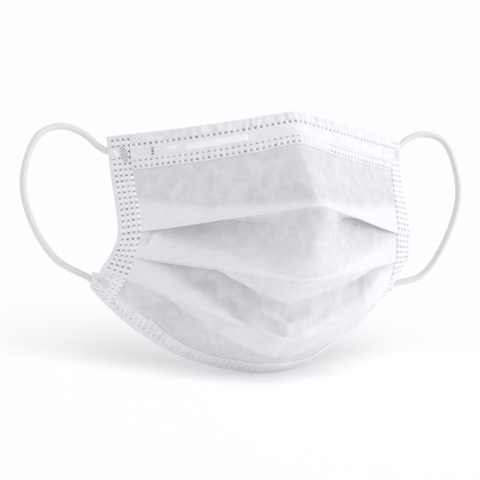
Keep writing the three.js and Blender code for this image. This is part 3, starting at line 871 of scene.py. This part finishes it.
def spread(low, high, rows, reach, coarse, fine):
    """Places from low to high, closer together within reach of each weld row."""
    marks = [low]
    while marks[-1] < high:
        near = min((abs(marks[-1] - row) for row in rows), default=high)
        marks.append(marks[-1] + (fine if near < reach else coarse))
    marks = np.array(marks[:-1])
    return low + (marks - low) * (high - low) / (marks[-1] - low)


def arc_columns(line, reach, step):
    """Places along a line about step apart, and their lengths from the middle, in mm."""
    s = np.linspace(-reach, reach, ARC_POINTS)
    length = lengths(line_at(line, s))
    length = length - np.interp(0, s, length)
    along = np.arange(math.ceil(length[0] / step), math.floor(length[-1] / step) + 1) * step
    along[0], along[-1] = length[0], length[-1]
    return np.interp(along, length, s), along


def folded_strip(depth, slot_from, rows, front_at, back_at, slot_at):
    """Outline of a strip folded over an edge, from heights that take places s and a depth: the depth of each
    of its lines, a function for their heights at places s, and the side each faces, 1 front and -1 back."""
    face = spread(FACE_FROM, depth, rows, ROW_REACH, LINES_APART, ROW_LINES_APART)
    pocket = np.linspace(depth, slot_from, POCKET_LINES)
    lip = depth + LIP_PAST
    outline = [(d, 1.0, front_at) for d in face]
    outline.append((lip, 0.0, lambda s, d: (front_at(s, depth) + slot_at(s, depth)) / 2))
    outline += [(d, 0.0, slot_at) for d in pocket]
    outline += [(d, 0.0, lambda s, d: -slot_at(s, d)) for d in pocket[::-1]]
    outline.append((lip, 0.0, lambda s, d: (back_at(s, depth) - slot_at(s, depth)) / 2))
    outline += [(d, -1.0, back_at) for d in face[::-1]]
    # The rounded edge
    outline.append((EDGE_LINE, 0.0, lambda s, d: EDGE_ROUND * back_at(s, FACE_FROM)))
    outline.append((0.0, 0.0, lambda s, d: 0 * s))
    outline.append((EDGE_LINE, 0.0, lambda s, d: EDGE_ROUND * front_at(s, FACE_FROM)))

    def heights(s):
        return np.stack([height_at(s, d) for d, _, height_at in outline], axis=1)

    return np.array([d for d, _, _ in outline]), heights, np.array([side for _, side, _ in outline])


def wrinkle(s, d, sets):
    """Height of sets of soft wrinkles at places s and a depth."""
    return sum(
        share * np.array([noise.noise(Vector((x / wide, d / tall, seed))) for x in s])
        for share, wide, tall, seed in sets
    )


def raised_by_wire(s, d):
    """How far the wire raises the channel, from 0 to 1."""
    high, low = WIRE_STRIP
    soft = WIRE_STRIP_SOFT
    strip = plateau(d, high - soft, high + soft, low - soft, low + soft)
    length = sum(
        share * plateau(s, start - gentle, start + gentle, end - WIRE_RAISED_END, end + WIRE_RAISED_END)
        for start, end, gentle, share in WIRE_RAISED
    )
    return strip * length + bell(s, *WIRE_BUMP_ALONG) * bell(d, *WIRE_BUMP_DOWN)


def hem_thin(s):
    """Hem layers are pressed thinner where the side bands take them."""
    return 1 - HEM_THINNED * soft_step(np.abs(s), cloth_reach - HEM_THINNED_WITHIN, cloth_reach)


def hem_edge(d, depth):
    """The free edge of a hem, pressed down to the cloth."""
    return HEM_EDGE * soft_step(d, depth - HEM_EDGE_WIDE, depth)


def top_front(s, d):
    edge_band = plateau(d, *EDGE_BAND)
    fine = EDGE_WRINKLE * edge_band * wrinkle(s, d, FRONT_WRINKLES)
    crease = EDGE_CREASE * edge_band * (bell(s, *EDGE_CREASE_RIDGE) - bell(s, *EDGE_CREASE_DIP))
    room = CHANNEL_OUT * plateau(d, *CHANNEL)
    lifted = room + fine + crease + WIRE_RAISE * raised_by_wire(s, d)
    return (HEM_SLOT + HEM_LEAF) * hem_thin(s) + lifted - hem_edge(d, TOP_HEM)


def top_back(s, d):
    fine = EDGE_WRINKLE * plateau(d, *EDGE_BAND) * wrinkle(s, d, BACK_WRINKLES)
    room = CHANNEL_BACK * plateau(d, *CHANNEL)
    return -(HEM_SLOT + HEM_LEAF) * hem_thin(s) - room + fine


def top_slot(s, d):
    return (HEM_SLOT + (WIRE_ROOM - HEM_SLOT) * plateau(d, *CHANNEL_SLOT)) * hem_thin(s)


def top_pressing(s, d):
    """How hard the welds are pressed, from 0 to 1."""
    held_off = plateau(s, *HELD_OFF_ALONG) * soft_step(d, *HELD_OFF_DOWN)
    less = 1 - PRESSED_LESS * soft_step(s, *PRESSED_LESS_FROM)
    return less * (1 - HELD_OFF * held_off) * hem_thin(s)


def make_hem(name, line, inward, s, along, outline, pressing, whiteness):
    """Hem strip with the values that its welds and its cloth read."""
    depths, heights, face = outline
    edge, out = hem_frame(line, s, inward)
    depth = np.tile(depths, (len(s), 1))
    points = strip_points(edge, inward, out, depth, heights(s))
    values = {
        "along": np.repeat(along, len(depths)),
        "across": depth,
        "pressed": pressing(s[:, None], depth) * np.abs(face),
        "puff": whiteness(s[:, None], depth) * np.maximum(0, face),
    }
    return make_piece(name, points.reshape(-1, 3), strip_faces(len(s), len(depths)), values)


weld_dots = weld_dots_tree()
welded_cloth = nonwoven("welded_spunbond", "#e7e7ea", "#f2f2f4", "#ffffff", "#6c6c72")
hem_reach = cloth_reach + CLOTH_IN_BAND / 2
top_s, top_along = arc_columns("top", hem_reach, DOT_PITCH / STEPS_PER_DOT)
top_outline = folded_strip(
    TOP_HEM,
    WIRE_BELOW_EDGE - POCKET_PAST_WIRE,
    TOP_ROWS + WIRE_STRIP + CHANNEL_ROWS,
    top_front,
    top_back,
    top_slot,
)
top_hem = make_hem(
    "top_hem_strip", "top", top_inward(top_s), top_s, top_along, top_outline, top_pressing, raised_by_wire
)
top_dots = {
    "Row pitch": TOP_ROWS[2] - TOP_ROWS[1],
    "Dot pitch": DOT_PITCH,
    "First dot": 0.0,
    "Dot size": DOT_SIZE,
    "Dot length": DOT_LENGTH,
    "Depth": DOT_DEPTH,
    "Puff": DOT_PUFF,
    "Film": TOP_FILM,
    "From": top_along[0] + HEM_END_CLEAR,
    "To": top_along[-1] - HEM_END_CLEAR,
    "Seed": 4,
    "Material": welded_cloth,
}
weld_along = float(np.interp(CHANNEL_WELD_AT, top_s, top_along))
channel_dots = [
    {
        **top_dots,
        "First row": CHANNEL_ROWS[0],
        "Row pitch": CHANNEL_ROWS[1] - CHANNEL_ROWS[0],
        "Last row": float(len(CHANNEL_ROWS) - 1),
        "Depth": CHANNEL_WELD_DEPTH,
        "Film": CHANNEL_FILM[sign],
        "First dot": sign * weld_along,
        "From": sign * weld_along - CHANNEL_WELD_HALF,
        "To": sign * weld_along + CHANNEL_WELD_HALF,
    }
    for sign in (-1, 1)
]
press(
    top_hem,
    weld_dots,
    (
        {**top_dots, "First row": TOP_ROWS[0], "Last row": 0.0},
        {**top_dots, "First row": TOP_ROWS[1], "Last row": 1.0},
        *channel_dots,
    ),
)
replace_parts(top_hem, "top_hem")
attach(top_hem, "root")


# Bottom hem
# A narrower strip of the same cloth, folded under the chin edge.
# Three rows of finer weld dots fix it, the lowest pressed hardest.
BOTTOM_ROWS = (4.6, 7.0, 9.4)
BOTTOM_DOT_DEPTH = (0.32, 0.24, 0.14)
BOTTOM_DOT_SIZE = 0.7
BOTTOM_DOT_PUFF = 0.14
BOTTOM_FILM = 0.4
BOTTOM_FRONT_WRINKLES = ((0.1, 7.0, 6.0, 31.0),)
BOTTOM_BACK_WRINKLES = ((0.1, 7.0, 6.0, 32.0),)
POCKET_PAST_CLOTH = 0.3


def bottom_front(s, d):
    wrinkled = wrinkle(s, d, BOTTOM_FRONT_WRINKLES)
    return (HEM_SLOT + HEM_LEAF) * hem_thin(s) + wrinkled - hem_edge(d, BOTTOM_HEM)


def bottom_back(s, d):
    return -(HEM_SLOT + HEM_LEAF) * hem_thin(s) + wrinkle(s, d, BOTTOM_BACK_WRINKLES)


def bottom_slot(s, d):
    return HEM_SLOT * hem_thin(s)


bottom_s, bottom_along = arc_columns("bottom", hem_reach, DOT_PITCH / STEPS_PER_DOT)
bottom_inward = cloth_rows(bottom_s)[3]
bottom_outline = folded_strip(
    BOTTOM_HEM,
    BOTTOM_HEM - CLOTH_IN_HEM - POCKET_PAST_CLOTH,
    BOTTOM_ROWS,
    bottom_front,
    bottom_back,
    bottom_slot,
)
bottom_hem = make_hem(
    "bottom_hem_strip",
    "bottom",
    bottom_inward,
    bottom_s,
    bottom_along,
    bottom_outline,
    lambda s, d: np.ones_like(s * d),
    lambda s, d: np.zeros_like(s * d),
)
# Each row is a pass of its own, so its pitch to the next only has to be wider than a dot
bottom_dots = {
    **top_dots,
    "Row pitch": 1.0,
    "Last row": 0.0,
    "Dot size": BOTTOM_DOT_SIZE,
    "Puff": BOTTOM_DOT_PUFF,
    "Film": BOTTOM_FILM,
    "From": bottom_along[0] + HEM_END_CLEAR,
    "To": bottom_along[-1] - HEM_END_CLEAR,
    "Seed": 9,
}
press(
    bottom_hem,
    weld_dots,
    [{**bottom_dots, "First row": row, "Depth": deep} for row, deep in zip(BOTTOM_ROWS, BOTTOM_DOT_DEPTH)],
)
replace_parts(bottom_hem, "bottom_hem")
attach(bottom_hem, "root")


# Side bands
# The pleats' ends, pressed flat under a folded strip of cloth and welded with four columns of dots.
# Each cord end is welded behind the band: an oval of fine dots, with the cord's end swelling beside it.

# Section: heights of front and back, the front's step below each fold, the rounded outer edge and ends, and
# the inner edge, which lies over the cloth and is pressed thin
BAND_FRONT = 0.8
BAND_STEP = 0.7
BAND_BACK = 0.85
BAND_ROUND = 1.3
BAND_ENDS = 0.7
BAND_ENDS_LEAST = 0.04
BAND_OVER_CLOTH = 0.2
BAND_INNER = SIDE_BAND + BAND_OVER_CLOTH
BAND_THINNED = 0.95
BAND_THINNED_WIDE = 1.2
# Where the folds and the bottom edge meet the band, on the way down it from 0 to 1
FOLDS_MEET = (0.4, 0.6, 0.8, 1.0)
# Columns of weld dots by their distance in from the outer edge, and the dots' sizes
BAND_COLUMNS = (2.7, 5.1, 7.5, 9.9)
BAND_DOT_PITCH = 2.7
BAND_FIRST_DOT = 2.2
BAND_DOT_SIZE = 1.05
BAND_DOT_LENGTH = 0.75
BAND_DOT_PUFF = 0.32
BAND_END_CLEAR = 1.4
BAND_FILM = {-1: 0.9, 1: 0.55}
# Below the last fold one layer fewer lies under the weld, and it takes less
LOW_END_FILM = 0.4
LOW_END_FROM = (0.79, 0.81)
# Mesh: lines along near a patch, lines across apart and near a column, and lines of the rounded edge
PATCH_REACH = 4.6
PATCH_LINES_APART = 0.15
ACROSS_LINES_APART = 0.3
COLUMN_LINES_APART = 0.2
ROUND_LINES = 7
NORMAL_LINES = 8
BAND_POINTS = 2001
# The fine mesh of a weld patch, and shares of an oval's radius where patch and swelling end and dots start
PATCH_PITCH = 0.95
PATCH_DEPTH = 0.26
PATCH_SUNK = 0.12
PATCH_FILM = 0.8
PATCH_EDGE = (0.85, 1.0)
PATCH_CLEAR = (1.0, 1.15)
CORD_SWELL = 1.7
SWELL_EDGE = (0.4, 1.0)
SWELL_CLEAR = (1.0, 1.1)
# Weld patches of each side, upper then lower: place along and across, half sizes, degrees turned and how
# clearly each is marked. The swelling over each cord's end has a place, half sizes and a turn too
WELDS = {
    -1: (
        {"patch": (8.8, 7.3), "half": (4.0, 1.8), "turn": 14, "marked": 0.9},
        {"patch": (75.0, 4.2), "half": (2.8, 2.3), "turn": 0, "marked": 0.5},
    ),
    1: (
        {"patch": (6.6, 7.2), "half": (3.6, 2.0), "turn": 0, "marked": 0.12},
        {"patch": (80.6, 4.8), "half": (2.8, 2.3), "turn": 0, "marked": 0.35},
    ),
}
SWELLINGS = {
    -1: (
        {"at": (7.8, 2.3), "half": (2.2, 3.4), "turn": -35},
        {"at": (76.2, 1.2), "half": (2.2, 2.6), "turn": 0},
    ),
    1: (
        {"at": (7.0, 4.2), "half": (3.4, 3.6), "turn": 0},
        {"at": (82.0, 1.2), "half": (2.2, 2.4), "turn": 0},
    ),
}
# The corner that the lower cord end pushes out: where it starts along the band and how far out it stands, how
# gently it starts, how much of it is lost by the band's end, and how far across the band it reaches
CORNER_PUSHED = {-1: (73.0, 2.6), 1: (79.5, 1.0)}
CORNER_EASE = 0.5
CORNER_LOST = 0.75
CORNER_REACH = 5.0


def weld_patch_tree():
    """Tree that presses a fine diagonal mesh of dots where the patch value is 1."""
    tree, size = new_tree("weld_patch", ("Pitch", "Depth", "Film"))
    along, across, patch, weld = (
        add(tree, "GeometryNodeInputNamedAttribute", {"Name": label})
        for label in ("along", "across", "patch", "weld")
    )
    # Two sets of diagonal waves, which sink the cloth where they meet
    full_turn = 2 * math.pi * math.sqrt(0.5)
    turn = add(tree, "ShaderNodeMath", {0: full_turn, 1: size["Pitch"]}, operation="DIVIDE")
    rising = add(tree, "ShaderNodeMath", {0: along, 1: across}, operation="ADD")
    falling = add(tree, "ShaderNodeMath", {0: along, 1: across}, operation="SUBTRACT")
    rising_turn = add(tree, "ShaderNodeMath", {0: rising, 1: turn}, operation="MULTIPLY")
    falling_turn = add(tree, "ShaderNodeMath", {0: falling, 1: turn}, operation="MULTIPLY")
    rising_wave = add(tree, "ShaderNodeMath", {0: rising_turn}, operation="COSINE")
    falling_wave = add(tree, "ShaderNodeMath", {0: falling_turn}, operation="COSINE")
    waves = add(tree, "ShaderNodeMath", {0: rising_wave, 1: falling_wave}, operation="ADD")
    dent_range = {"Value": waves, "From Min": -0.4, "From Max": 1.2}
    dent = add(tree, "ShaderNodeMapRange", dent_range, interpolation_type="SMOOTHSTEP")
    dented = add(tree, "ShaderNodeMath", {0: dent, 1: patch}, operation="MULTIPLY")
    sunk = add(tree, "ShaderNodeMath", {0: dented, 1: size["Depth"]}, operation="MULTIPLY")
    moved = push_out(tree, size["Geometry"], sunk, -0.001)
    # The dents are darkened too, partly with the film's own grey and partly with painted shade
    filmed = add(tree, "ShaderNodeMath", {0: dented, 1: size["Film"]}, operation="MULTIPLY")
    film_and_dent_shade = add(tree, "ShaderNodeMath", {0: weld, 1: filmed}, operation="MAXIMUM")
    marked = add(tree, "GeometryNodeStoreNamedAttribute", {"Geometry": moved, "Name": "weld", "Value": film_and_dent_shade})
    finish_tree(tree, marked, size["Material"])
    return tree


def oval(along, across, centre, half, turn):
    """Distance from an oval's centre, 1 on its rim, with its first axis turned by degrees toward across."""
    a = along - centre[0]
    b = across - centre[1]
    c = math.cos(math.radians(turn))
    s = math.sin(math.radians(turn))
    return np.hypot((a * c + b * s) / half[0], (b * c - a * s) / half[1])


def rounded(d, radius, least):
    """Height of an edge that is rounded over a radius, at distances d in from it: 1 past the radius."""
    return np.sqrt(np.clip(1 - (1 - np.minimum(d / radius, 1)) ** 2, least, 1))


def band_height(t):
    """The band's front, which steps back below each fold that is pressed into it."""
    height = np.full_like(t, BAND_FRONT)
    for upper, lower in zip(FOLDS_MEET, FOLDS_MEET[1:]):
        inside = (t >= upper) & (t < lower + (lower == 1.0))
        height[inside] = BAND_FRONT - BAND_STEP * (1 - (t[inside] - upper) / (lower - upper))
    return height


def band_grid(sign, along, across, t):
    """Middle surface of a band, with the corner that the lower cord end pushes out of its outer edge."""
    tab_from, tab_out = CORNER_PUSHED[sign]
    tab = tab_out * soft_step(along, tab_from - CORNER_EASE, tab_from + CORNER_EASE)
    tab = tab * (1 - CORNER_LOST * (along - tab_from) / (along[-1] - tab_from))
    station = np.arange(len(t))
    columns = [a - tab * max(0, 1 - a / CORNER_REACH) for a in across]
    return np.stack([band_surface(sign, column, t)[station, station] for column in columns], axis=1)


def band_normals(sign, across, t):
    """Outward normals of the flat band, read at each line across."""
    spots = np.linspace(0, BAND_INNER, NORMAL_LINES)
    normal = grid_normals(np.stack([band_surface(sign, [a], t)[:, 0] for a in spots], axis=1))
    normal = np.where(normal[..., 1:2] > 0, -normal, normal)
    read = [np.stack([np.interp(across, spots, part) for part in row.T], axis=1) for row in normal]
    return np.array(read)


def band_welds(sign, lay, place):
    """How far the cord ends swell the front, how strongly the patches are marked, how far they sink it, and
    where weld dots stay clear of both."""
    swell = np.zeros_like(lay)
    patch = np.zeros_like(lay)
    sunk = np.zeros_like(lay)
    clear = np.ones_like(lay)
    for weld, swelling in zip(WELDS[sign], SWELLINGS[sign]):
        inside = oval(lay, place, weld["patch"], weld["half"], weld["turn"])
        patch = np.maximum(patch, weld["marked"] * (1 - soft_step(inside, *PATCH_EDGE)))
        sunk = sunk + PATCH_SUNK * patch
        near = oval(lay, place, swelling["at"], swelling["half"], swelling["turn"])
        swell = swell + CORD_SWELL * (1 - soft_step(near, *SWELL_EDGE))
        off_both = np.minimum(soft_step(inside, *PATCH_CLEAR), soft_step(near, *SWELL_CLEAR))
        clear = np.minimum(clear, off_both)
    return swell, patch, sunk, clear


def make_band(sign, name):
    fine_t = np.linspace(0, 1, BAND_POINTS)
    length = lengths(band_surface(sign, [SIDE_BAND / 2], fine_t)[:, 0])
    patch_rows = [weld["patch"][0] for weld in WELDS[sign]]
    dot_steps = BAND_DOT_PITCH / STEPS_PER_DOT
    along = spread(0.0, length[-1], patch_rows, PATCH_REACH, dot_steps, PATCH_LINES_APART)
    t = np.interp(along, length, fine_t)
    # Lines across: out over the front, round the outer edge, and in over the back
    face = spread(BAND_ROUND, BAND_INNER, BAND_COLUMNS, ROW_REACH, ACROSS_LINES_APART, COLUMN_LINES_APART)
    rim = BAND_ROUND * (1 - np.cos(np.linspace(0, np.pi / 2, ROUND_LINES)[:-1]))
    across = np.concatenate((face[::-1], rim[::-1], rim[1:], face))
    is_front = np.arange(len(across)) < len(face) + len(rim)
    # Front and back, thinned to the inner edge and rounded at the outer edge and the ends
    rounding = rounded(across, BAND_ROUND, 0)
    ends = rounded(np.minimum(along, along[-1] - along), BAND_ENDS, BAND_ENDS_LEAST)
    thin = rounding * (1 - BAND_THINNED * soft_step(across, BAND_INNER - BAND_THINNED_WIDE, BAND_INNER))
    lay, place = np.meshgrid(along, across, indexing="ij")
    swell, patch, sunk, clear = band_welds(sign, lay, place)
    front = band_height(t)[:, None] * thin[None] * ends[:, None] + swell * rounding[None] - sunk
    back = -BAND_BACK * thin[None] * ends[:, None]
    height = np.where(is_front[None], front, back)
    points = band_grid(sign, along, across, t) + band_normals(sign, across, t) * height[..., None]
    clear = clear * (1 - (1 - LOW_END_FILM) * soft_step(t, *LOW_END_FROM))[:, None]
    values = {"along": lay, "across": place, "pressed": clear, "patch": patch}
    band = make_piece(name, points.reshape(-1, 3), strip_faces(len(along), len(across)), values)
    dots = {
        **top_dots,
        "First row": BAND_COLUMNS[0],
        "Row pitch": BAND_COLUMNS[1] - BAND_COLUMNS[0],
        "Last row": float(len(BAND_COLUMNS) - 1),
        "Dot pitch": BAND_DOT_PITCH,
        "First dot": BAND_FIRST_DOT,
        "Dot size": BAND_DOT_SIZE,
        "Dot length": BAND_DOT_LENGTH,
        "Puff": BAND_DOT_PUFF,
        "Film": BAND_FILM[sign],
        "From": BAND_END_CLEAR,
        "To": float(along[-1] - BAND_END_CLEAR),
        "Seed": 20 + sign,
    }
    patches = {"Pitch": PATCH_PITCH, "Depth": PATCH_DEPTH, "Film": PATCH_FILM, "Material": welded_cloth}
    press(band, weld_dots, (dots,))
    press(band, weld_patch, (patches,))
    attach(band, "root")
    return band


weld_patch = weld_patch_tree()
band_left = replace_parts(make_band(-1, "side_band_left"), "side_hem_left")
band_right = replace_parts(make_band(1, "side_band_right"), "side_hem_right")


# Ear loops
# Soft round knitted elastic, nylon over a stretch core, about 3 mm thick.
# Both ends are flattened and welded to the back of a side band.

# The cord's thickness, how far it lies behind the band and behind its edge, how far in its ends reach, and
# the welds' distances from the band's upper and lower ends
CORD_DIAMETER = 3.0
CORD_BEHIND = 1.75
CORD_BEHIND_EDGE = 1.9
WELD_INSET = 6.5
UPPER_WELD_DOWN = {-1: 6.1, 1: 4.5}
LOWER_WELD_UP = {-1: 2.8, 1: 2.4}
# The knit: wales round the cord, a course's length, and the stitches' height, by chevron and by valley
WALES = 9
COURSE = 1.1
STITCH = 0.07
CHEVRON = 0.6
WALE_VALLEY = 0.9
WALE_SHARP = 4
# The welded ends: how flat, between which distances from the tip, how much wider, and the tip's rounding
CORD_FLAT = 0.62
CORD_FLAT_EASE = (3.0, 9.0)
CORD_WIDENS = 0.6
CORD_TIP = 1.2
CORD_TIP_LEAST = 0.01
# Mesh: sides and rings, and the step that the band's run is read over, on the way down it from 0 to 1
CORD_SIDES = 36
CORD_RINGS = 560
RUN_STEP = 0.01
# Stations round the right loop: x, y, z, and how far the right loop's z stands above and the left one's below
LOOP_STATIONS = (
    (84.2, 39.8, -16.8, 1.5),
    (93.4, 41.5, -14.3, 1.4),
    (104.8, 39.6, -18.0, 1.9),
    (112.4, 33.6, -38.0, 0.2),
    (108.8, 30.9, -56.8, -1.3),
    (95.8, 30.7, -77.6, -3.6),
)


def band_frame(sign, across, t):
    """Point on a band, its outward normal and the way out across it."""
    near = band_surface(sign, [across], [max(0, t - RUN_STEP), t, min(1, t + RUN_STEP)])[:, 0]
    inner, outer = band_surface(sign, [SIDE_BAND, 0], [t])[0]
    run = unit(outer - inner)
    out = unit(np.cross(run, unit(near[2] - near[0])))
    return near[1], out if out[1] < 0 else -out, run


def loop_path(sign):
    """Points of the cord's middle from its upper weld round to its lower one, in mm."""
    length = lengths(band_surface(sign, [0], np.linspace(0, 1, RIM_POINTS))[:, 0])[-1]

    def weld(t):
        end, end_out, _ = band_frame(sign, WELD_INSET, t)
        edge, edge_out, run = band_frame(sign, 0, t)
        return [end - end_out * CORD_BEHIND, edge + run * CORD_DIAMETER / 2 - edge_out * CORD_BEHIND_EDGE]

    upper = weld(UPPER_WELD_DOWN[sign] / length)
    lower = weld(1 - LOWER_WELD_UP[sign] / length)[::-1]
    stations = [np.array((sign * x, y, z + sign * skew)) for x, y, z, skew in LOOP_STATIONS]
    return spline(upper + stations + lower, np.linspace(0, 1, CORD_RINGS))


def make_loop(sign, name):
    path = loop_path(sign)
    along = lengths(path)
    # Points at even spacing, and a ring's two directions carried along without twist
    even = np.linspace(0, along[-1], CORD_RINGS)
    path = np.stack([np.interp(even, along, path[:, k]) for k in range(3)], axis=1)
    tangent = unit(np.gradient(path, axis=0))
    side = unit(np.cross(tangent[0], (0.0, 1.0, 0.0)))
    sides = [side]
    for t in tangent[1:]:
        side = unit(side - t * dot(side, t))
        sides.append(side)
    sides = np.array(sides)
    ups = np.cross(tangent, sides)
    # Stitches in chevrons along each wale, with a valley between two wales
    turn = np.linspace(0, 2 * np.pi, CORD_SIDES, endpoint=False)
    wale = turn * WALES / (2 * np.pi)
    leg = np.abs(wale - np.floor(wale) - 0.5) * 2
    chevron = np.cos(2 * np.pi * (even[:, None] / COURSE + 0.5 * leg[None]))
    stitches = CHEVRON * chevron - WALE_VALLEY * leg[None] ** WALE_SHARP
    radius = CORD_DIAMETER / 2 + STITCH * stitches
    # The welded ends taper and flatten
    tip = np.minimum(even, even[-1] - even)
    squash = CORD_FLAT + (1 - CORD_FLAT) * soft_step(tip, *CORD_FLAT_EASE)
    close = rounded(tip, CORD_TIP, CORD_TIP_LEAST)
    ring = sides[:, None] * np.cos(turn)[None, :, None] * (2 - squash)[:, None, None] ** CORD_WIDENS
    ring = ring + ups[:, None] * np.sin(turn)[None, :, None] * squash[:, None, None]
    points = path[:, None] + ring * radius[..., None] * close[:, None, None]
    values = {"turn": np.tile(wale, CORD_RINGS)}
    loop = make_piece(name, points.reshape(-1, 3), strip_faces(CORD_RINGS, CORD_SIDES), values)
    loop.data.materials.append(elastic)
    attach(loop, "root")
    return loop


# Knitted nylon elastic: matte, slightly warm white, with painted shade in the stitches' valleys and a soft
# sheen
# Its fuzz is drawn 0.4 mm wide, coarser than the yarn's fibres, so that it shows
FUZZ_WIDE = 0.4
elastic = bpy.data.materials.new("knitted_nylon_elastic")
elastic.use_nodes = True
knit = elastic.node_tree
knit_surface = knit.nodes["Principled BSDF"]
knit_place = add(knit, "ShaderNodeTexCoord").outputs["Object"]
knit_turn = add(knit, "ShaderNodeAttribute", attribute_name="turn").outputs["Fac"]
# Painted shade: the cord is darker toward every second valley between its wales, broken up by the fuzz
knit_valley_painted_shade = add(knit, "ShaderNodeMath", {0: knit_turn, 1: 1.0}, operation="PINGPONG")
knit_fuzz = add(knit, "ShaderNodeTexNoise", {"Vector": knit_place, "Scale": 1000 / FUZZ_WIDE, "Detail": 3.0})
knit_painted_shade_and_fuzz = add(knit, "ShaderNodeMath", {0: knit_valley_painted_shade, 1: knit_fuzz}, operation="MULTIPLY")
knit_colour = add(
    knit,
    "ShaderNodeMix",
    {0: knit_painted_shade_and_fuzz, 6: to_linear("#e2e2df"), 7: to_linear("#eeeeec")},
    data_type="RGBA",
)
knit_bump = add(knit, "ShaderNodeBump", {"Height": knit_fuzz, "Strength": 0.3, "Distance": 0.0001})
knit.links.new(knit_colour.outputs[2], knit_surface.inputs["Base Color"])
knit.links.new(knit_bump.outputs[0], knit_surface.inputs["Normal"])
knit_surface.inputs["Roughness"].default_value = 0.8
knit_surface.inputs["Sheen Weight"].default_value = 0.2
knit_surface.inputs["IOR"].default_value = 1.53
knit_surface.inputs["Specular IOR Level"].default_value = 0.3
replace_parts(make_loop(-1, "ear_loop_cord_left"), "ear_loop_left")
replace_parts(make_loop(1, "ear_loop_cord_right"), "ear_loop_right")


# Floor, light and camera
# A plain pale floor with a lamp of its own, a broad light overhead, a low light from the right, and light
# all round. The camera stands to the left of the mask's front and a little above, as the photograph's did.
FLOOR_HALF = 40.0
FLOOR_GLOW = 0.15
# The camera's place in degrees and metres, solved from the photograph's fold and edge lines
CAMERA_AZIMUTH = 25.28
CAMERA_ELEVATION = 10.24
CAMERA_ROLL = 5.32
CAMERA_DISTANCE = 0.75
CAMERA_TARGET = (-0.02025, 0.0, -0.05863)
MM_PER_PIXEL = 0.448
PICTURE_PIXELS = 480
SENSOR = 36.0

floor_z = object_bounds()[0].z
floor_mesh = bpy.data.meshes.new("floor")
corners = [(x * FLOOR_HALF, y * FLOOR_HALF, floor_z) for x, y in ((-1, -1), (1, -1), (1, 1), (-1, 1))]
floor_mesh.from_pydata(corners, [], [(0, 1, 2, 3)])
floor = bpy.data.objects.new("floor", floor_mesh)
bpy.context.scene.collection.objects.link(floor)
# Matt white paint
paint = bpy.data.materials.new("matt_white_paint")
paint.use_nodes = True
paint_surface = paint.node_tree.nodes["Principled BSDF"]
paint_surface.inputs["Base Color"].default_value = to_linear("#f7f7f7")
paint_surface.inputs["Roughness"].default_value = 0.9
paint_surface.inputs["Specular IOR Level"].default_value = 0.1
paint_surface.inputs["Emission Color"].default_value = to_linear("#ffffff")
paint_surface.inputs["Emission Strength"].default_value = FLOOR_GLOW
floor_mesh.materials.append(paint)

# Soft lights: name, degrees round from the front to the right, degrees up, degrees across, strength, and
# whether the floor is left out or is all that is lit
LIGHTS = (
    ("overhead", 0, 80, 80, 0.8, "EXCLUDE"),
    ("key", 60, 15, 40, 1.08, "EXCLUDE"),
    ("floor_lamp", 5, 60, 45, 1.06, "INCLUDE"),
)
WORLD_STRENGTH = 0.63
world = bpy.data.worlds.new("studio")
world.use_nodes = True
sky = world.node_tree.nodes["Background"]
sky.inputs["Color"].default_value = to_linear("#fcfcff")
sky.inputs["Strength"].default_value = WORLD_STRENGTH
bpy.context.scene.world = world


def toward_place(round_to, up_by):
    """Direction to a place so many degrees round from the front to the right, and up."""
    level = math.cos(math.radians(up_by))
    turned = math.radians(round_to)
    return Vector((math.sin(turned) * level, -math.cos(turned) * level, math.sin(math.radians(up_by))))


for name, round_to, up_by, wide, strength, on_floor in LIGHTS:
    lamp = bpy.data.lights.new(name, "SUN")
    lamp.energy = strength
    lamp.angle = math.radians(wide)
    light = bpy.data.objects.new(name, lamp)
    light.rotation_euler = toward_place(round_to, up_by).to_track_quat("Z", "Y").to_euler()
    bpy.context.scene.collection.objects.link(light)
    lit = bpy.data.collections.new(name + "_on_floor")
    lit.objects.link(floor)
    lit.collection_objects[0].light_linking.link_state = on_floor
    light.light_linking.receiver_collection = lit

back = toward_place(-CAMERA_AZIMUTH, CAMERA_ELEVATION)
azimuth = math.radians(CAMERA_AZIMUTH)
roll = math.radians(CAMERA_ROLL)
right = Vector((math.cos(azimuth), -math.sin(azimuth), 0))
upward = back.cross(right)
rolled_right = right * math.cos(roll) + upward * math.sin(roll)
rolled_up = upward * math.cos(roll) - right * math.sin(roll)
camera_data = bpy.data.cameras.new("camera")
camera_data.sensor_width = SENSOR
camera_data.lens = SENSOR * CAMERA_DISTANCE * 1000 / MM_PER_PIXEL / PICTURE_PIXELS
camera = bpy.data.objects.new("camera", camera_data)
turned = Matrix((rolled_right, rolled_up, back)).transposed().to_4x4()
camera.matrix_world = Matrix.Translation(Vector(CAMERA_TARGET) + back * CAMERA_DISTANCE) @ turned
bpy.context.scene.collection.objects.link(camera)
bpy.context.scene.camera = camera
bpy.context.scene.view_settings.view_transform = "Standard"
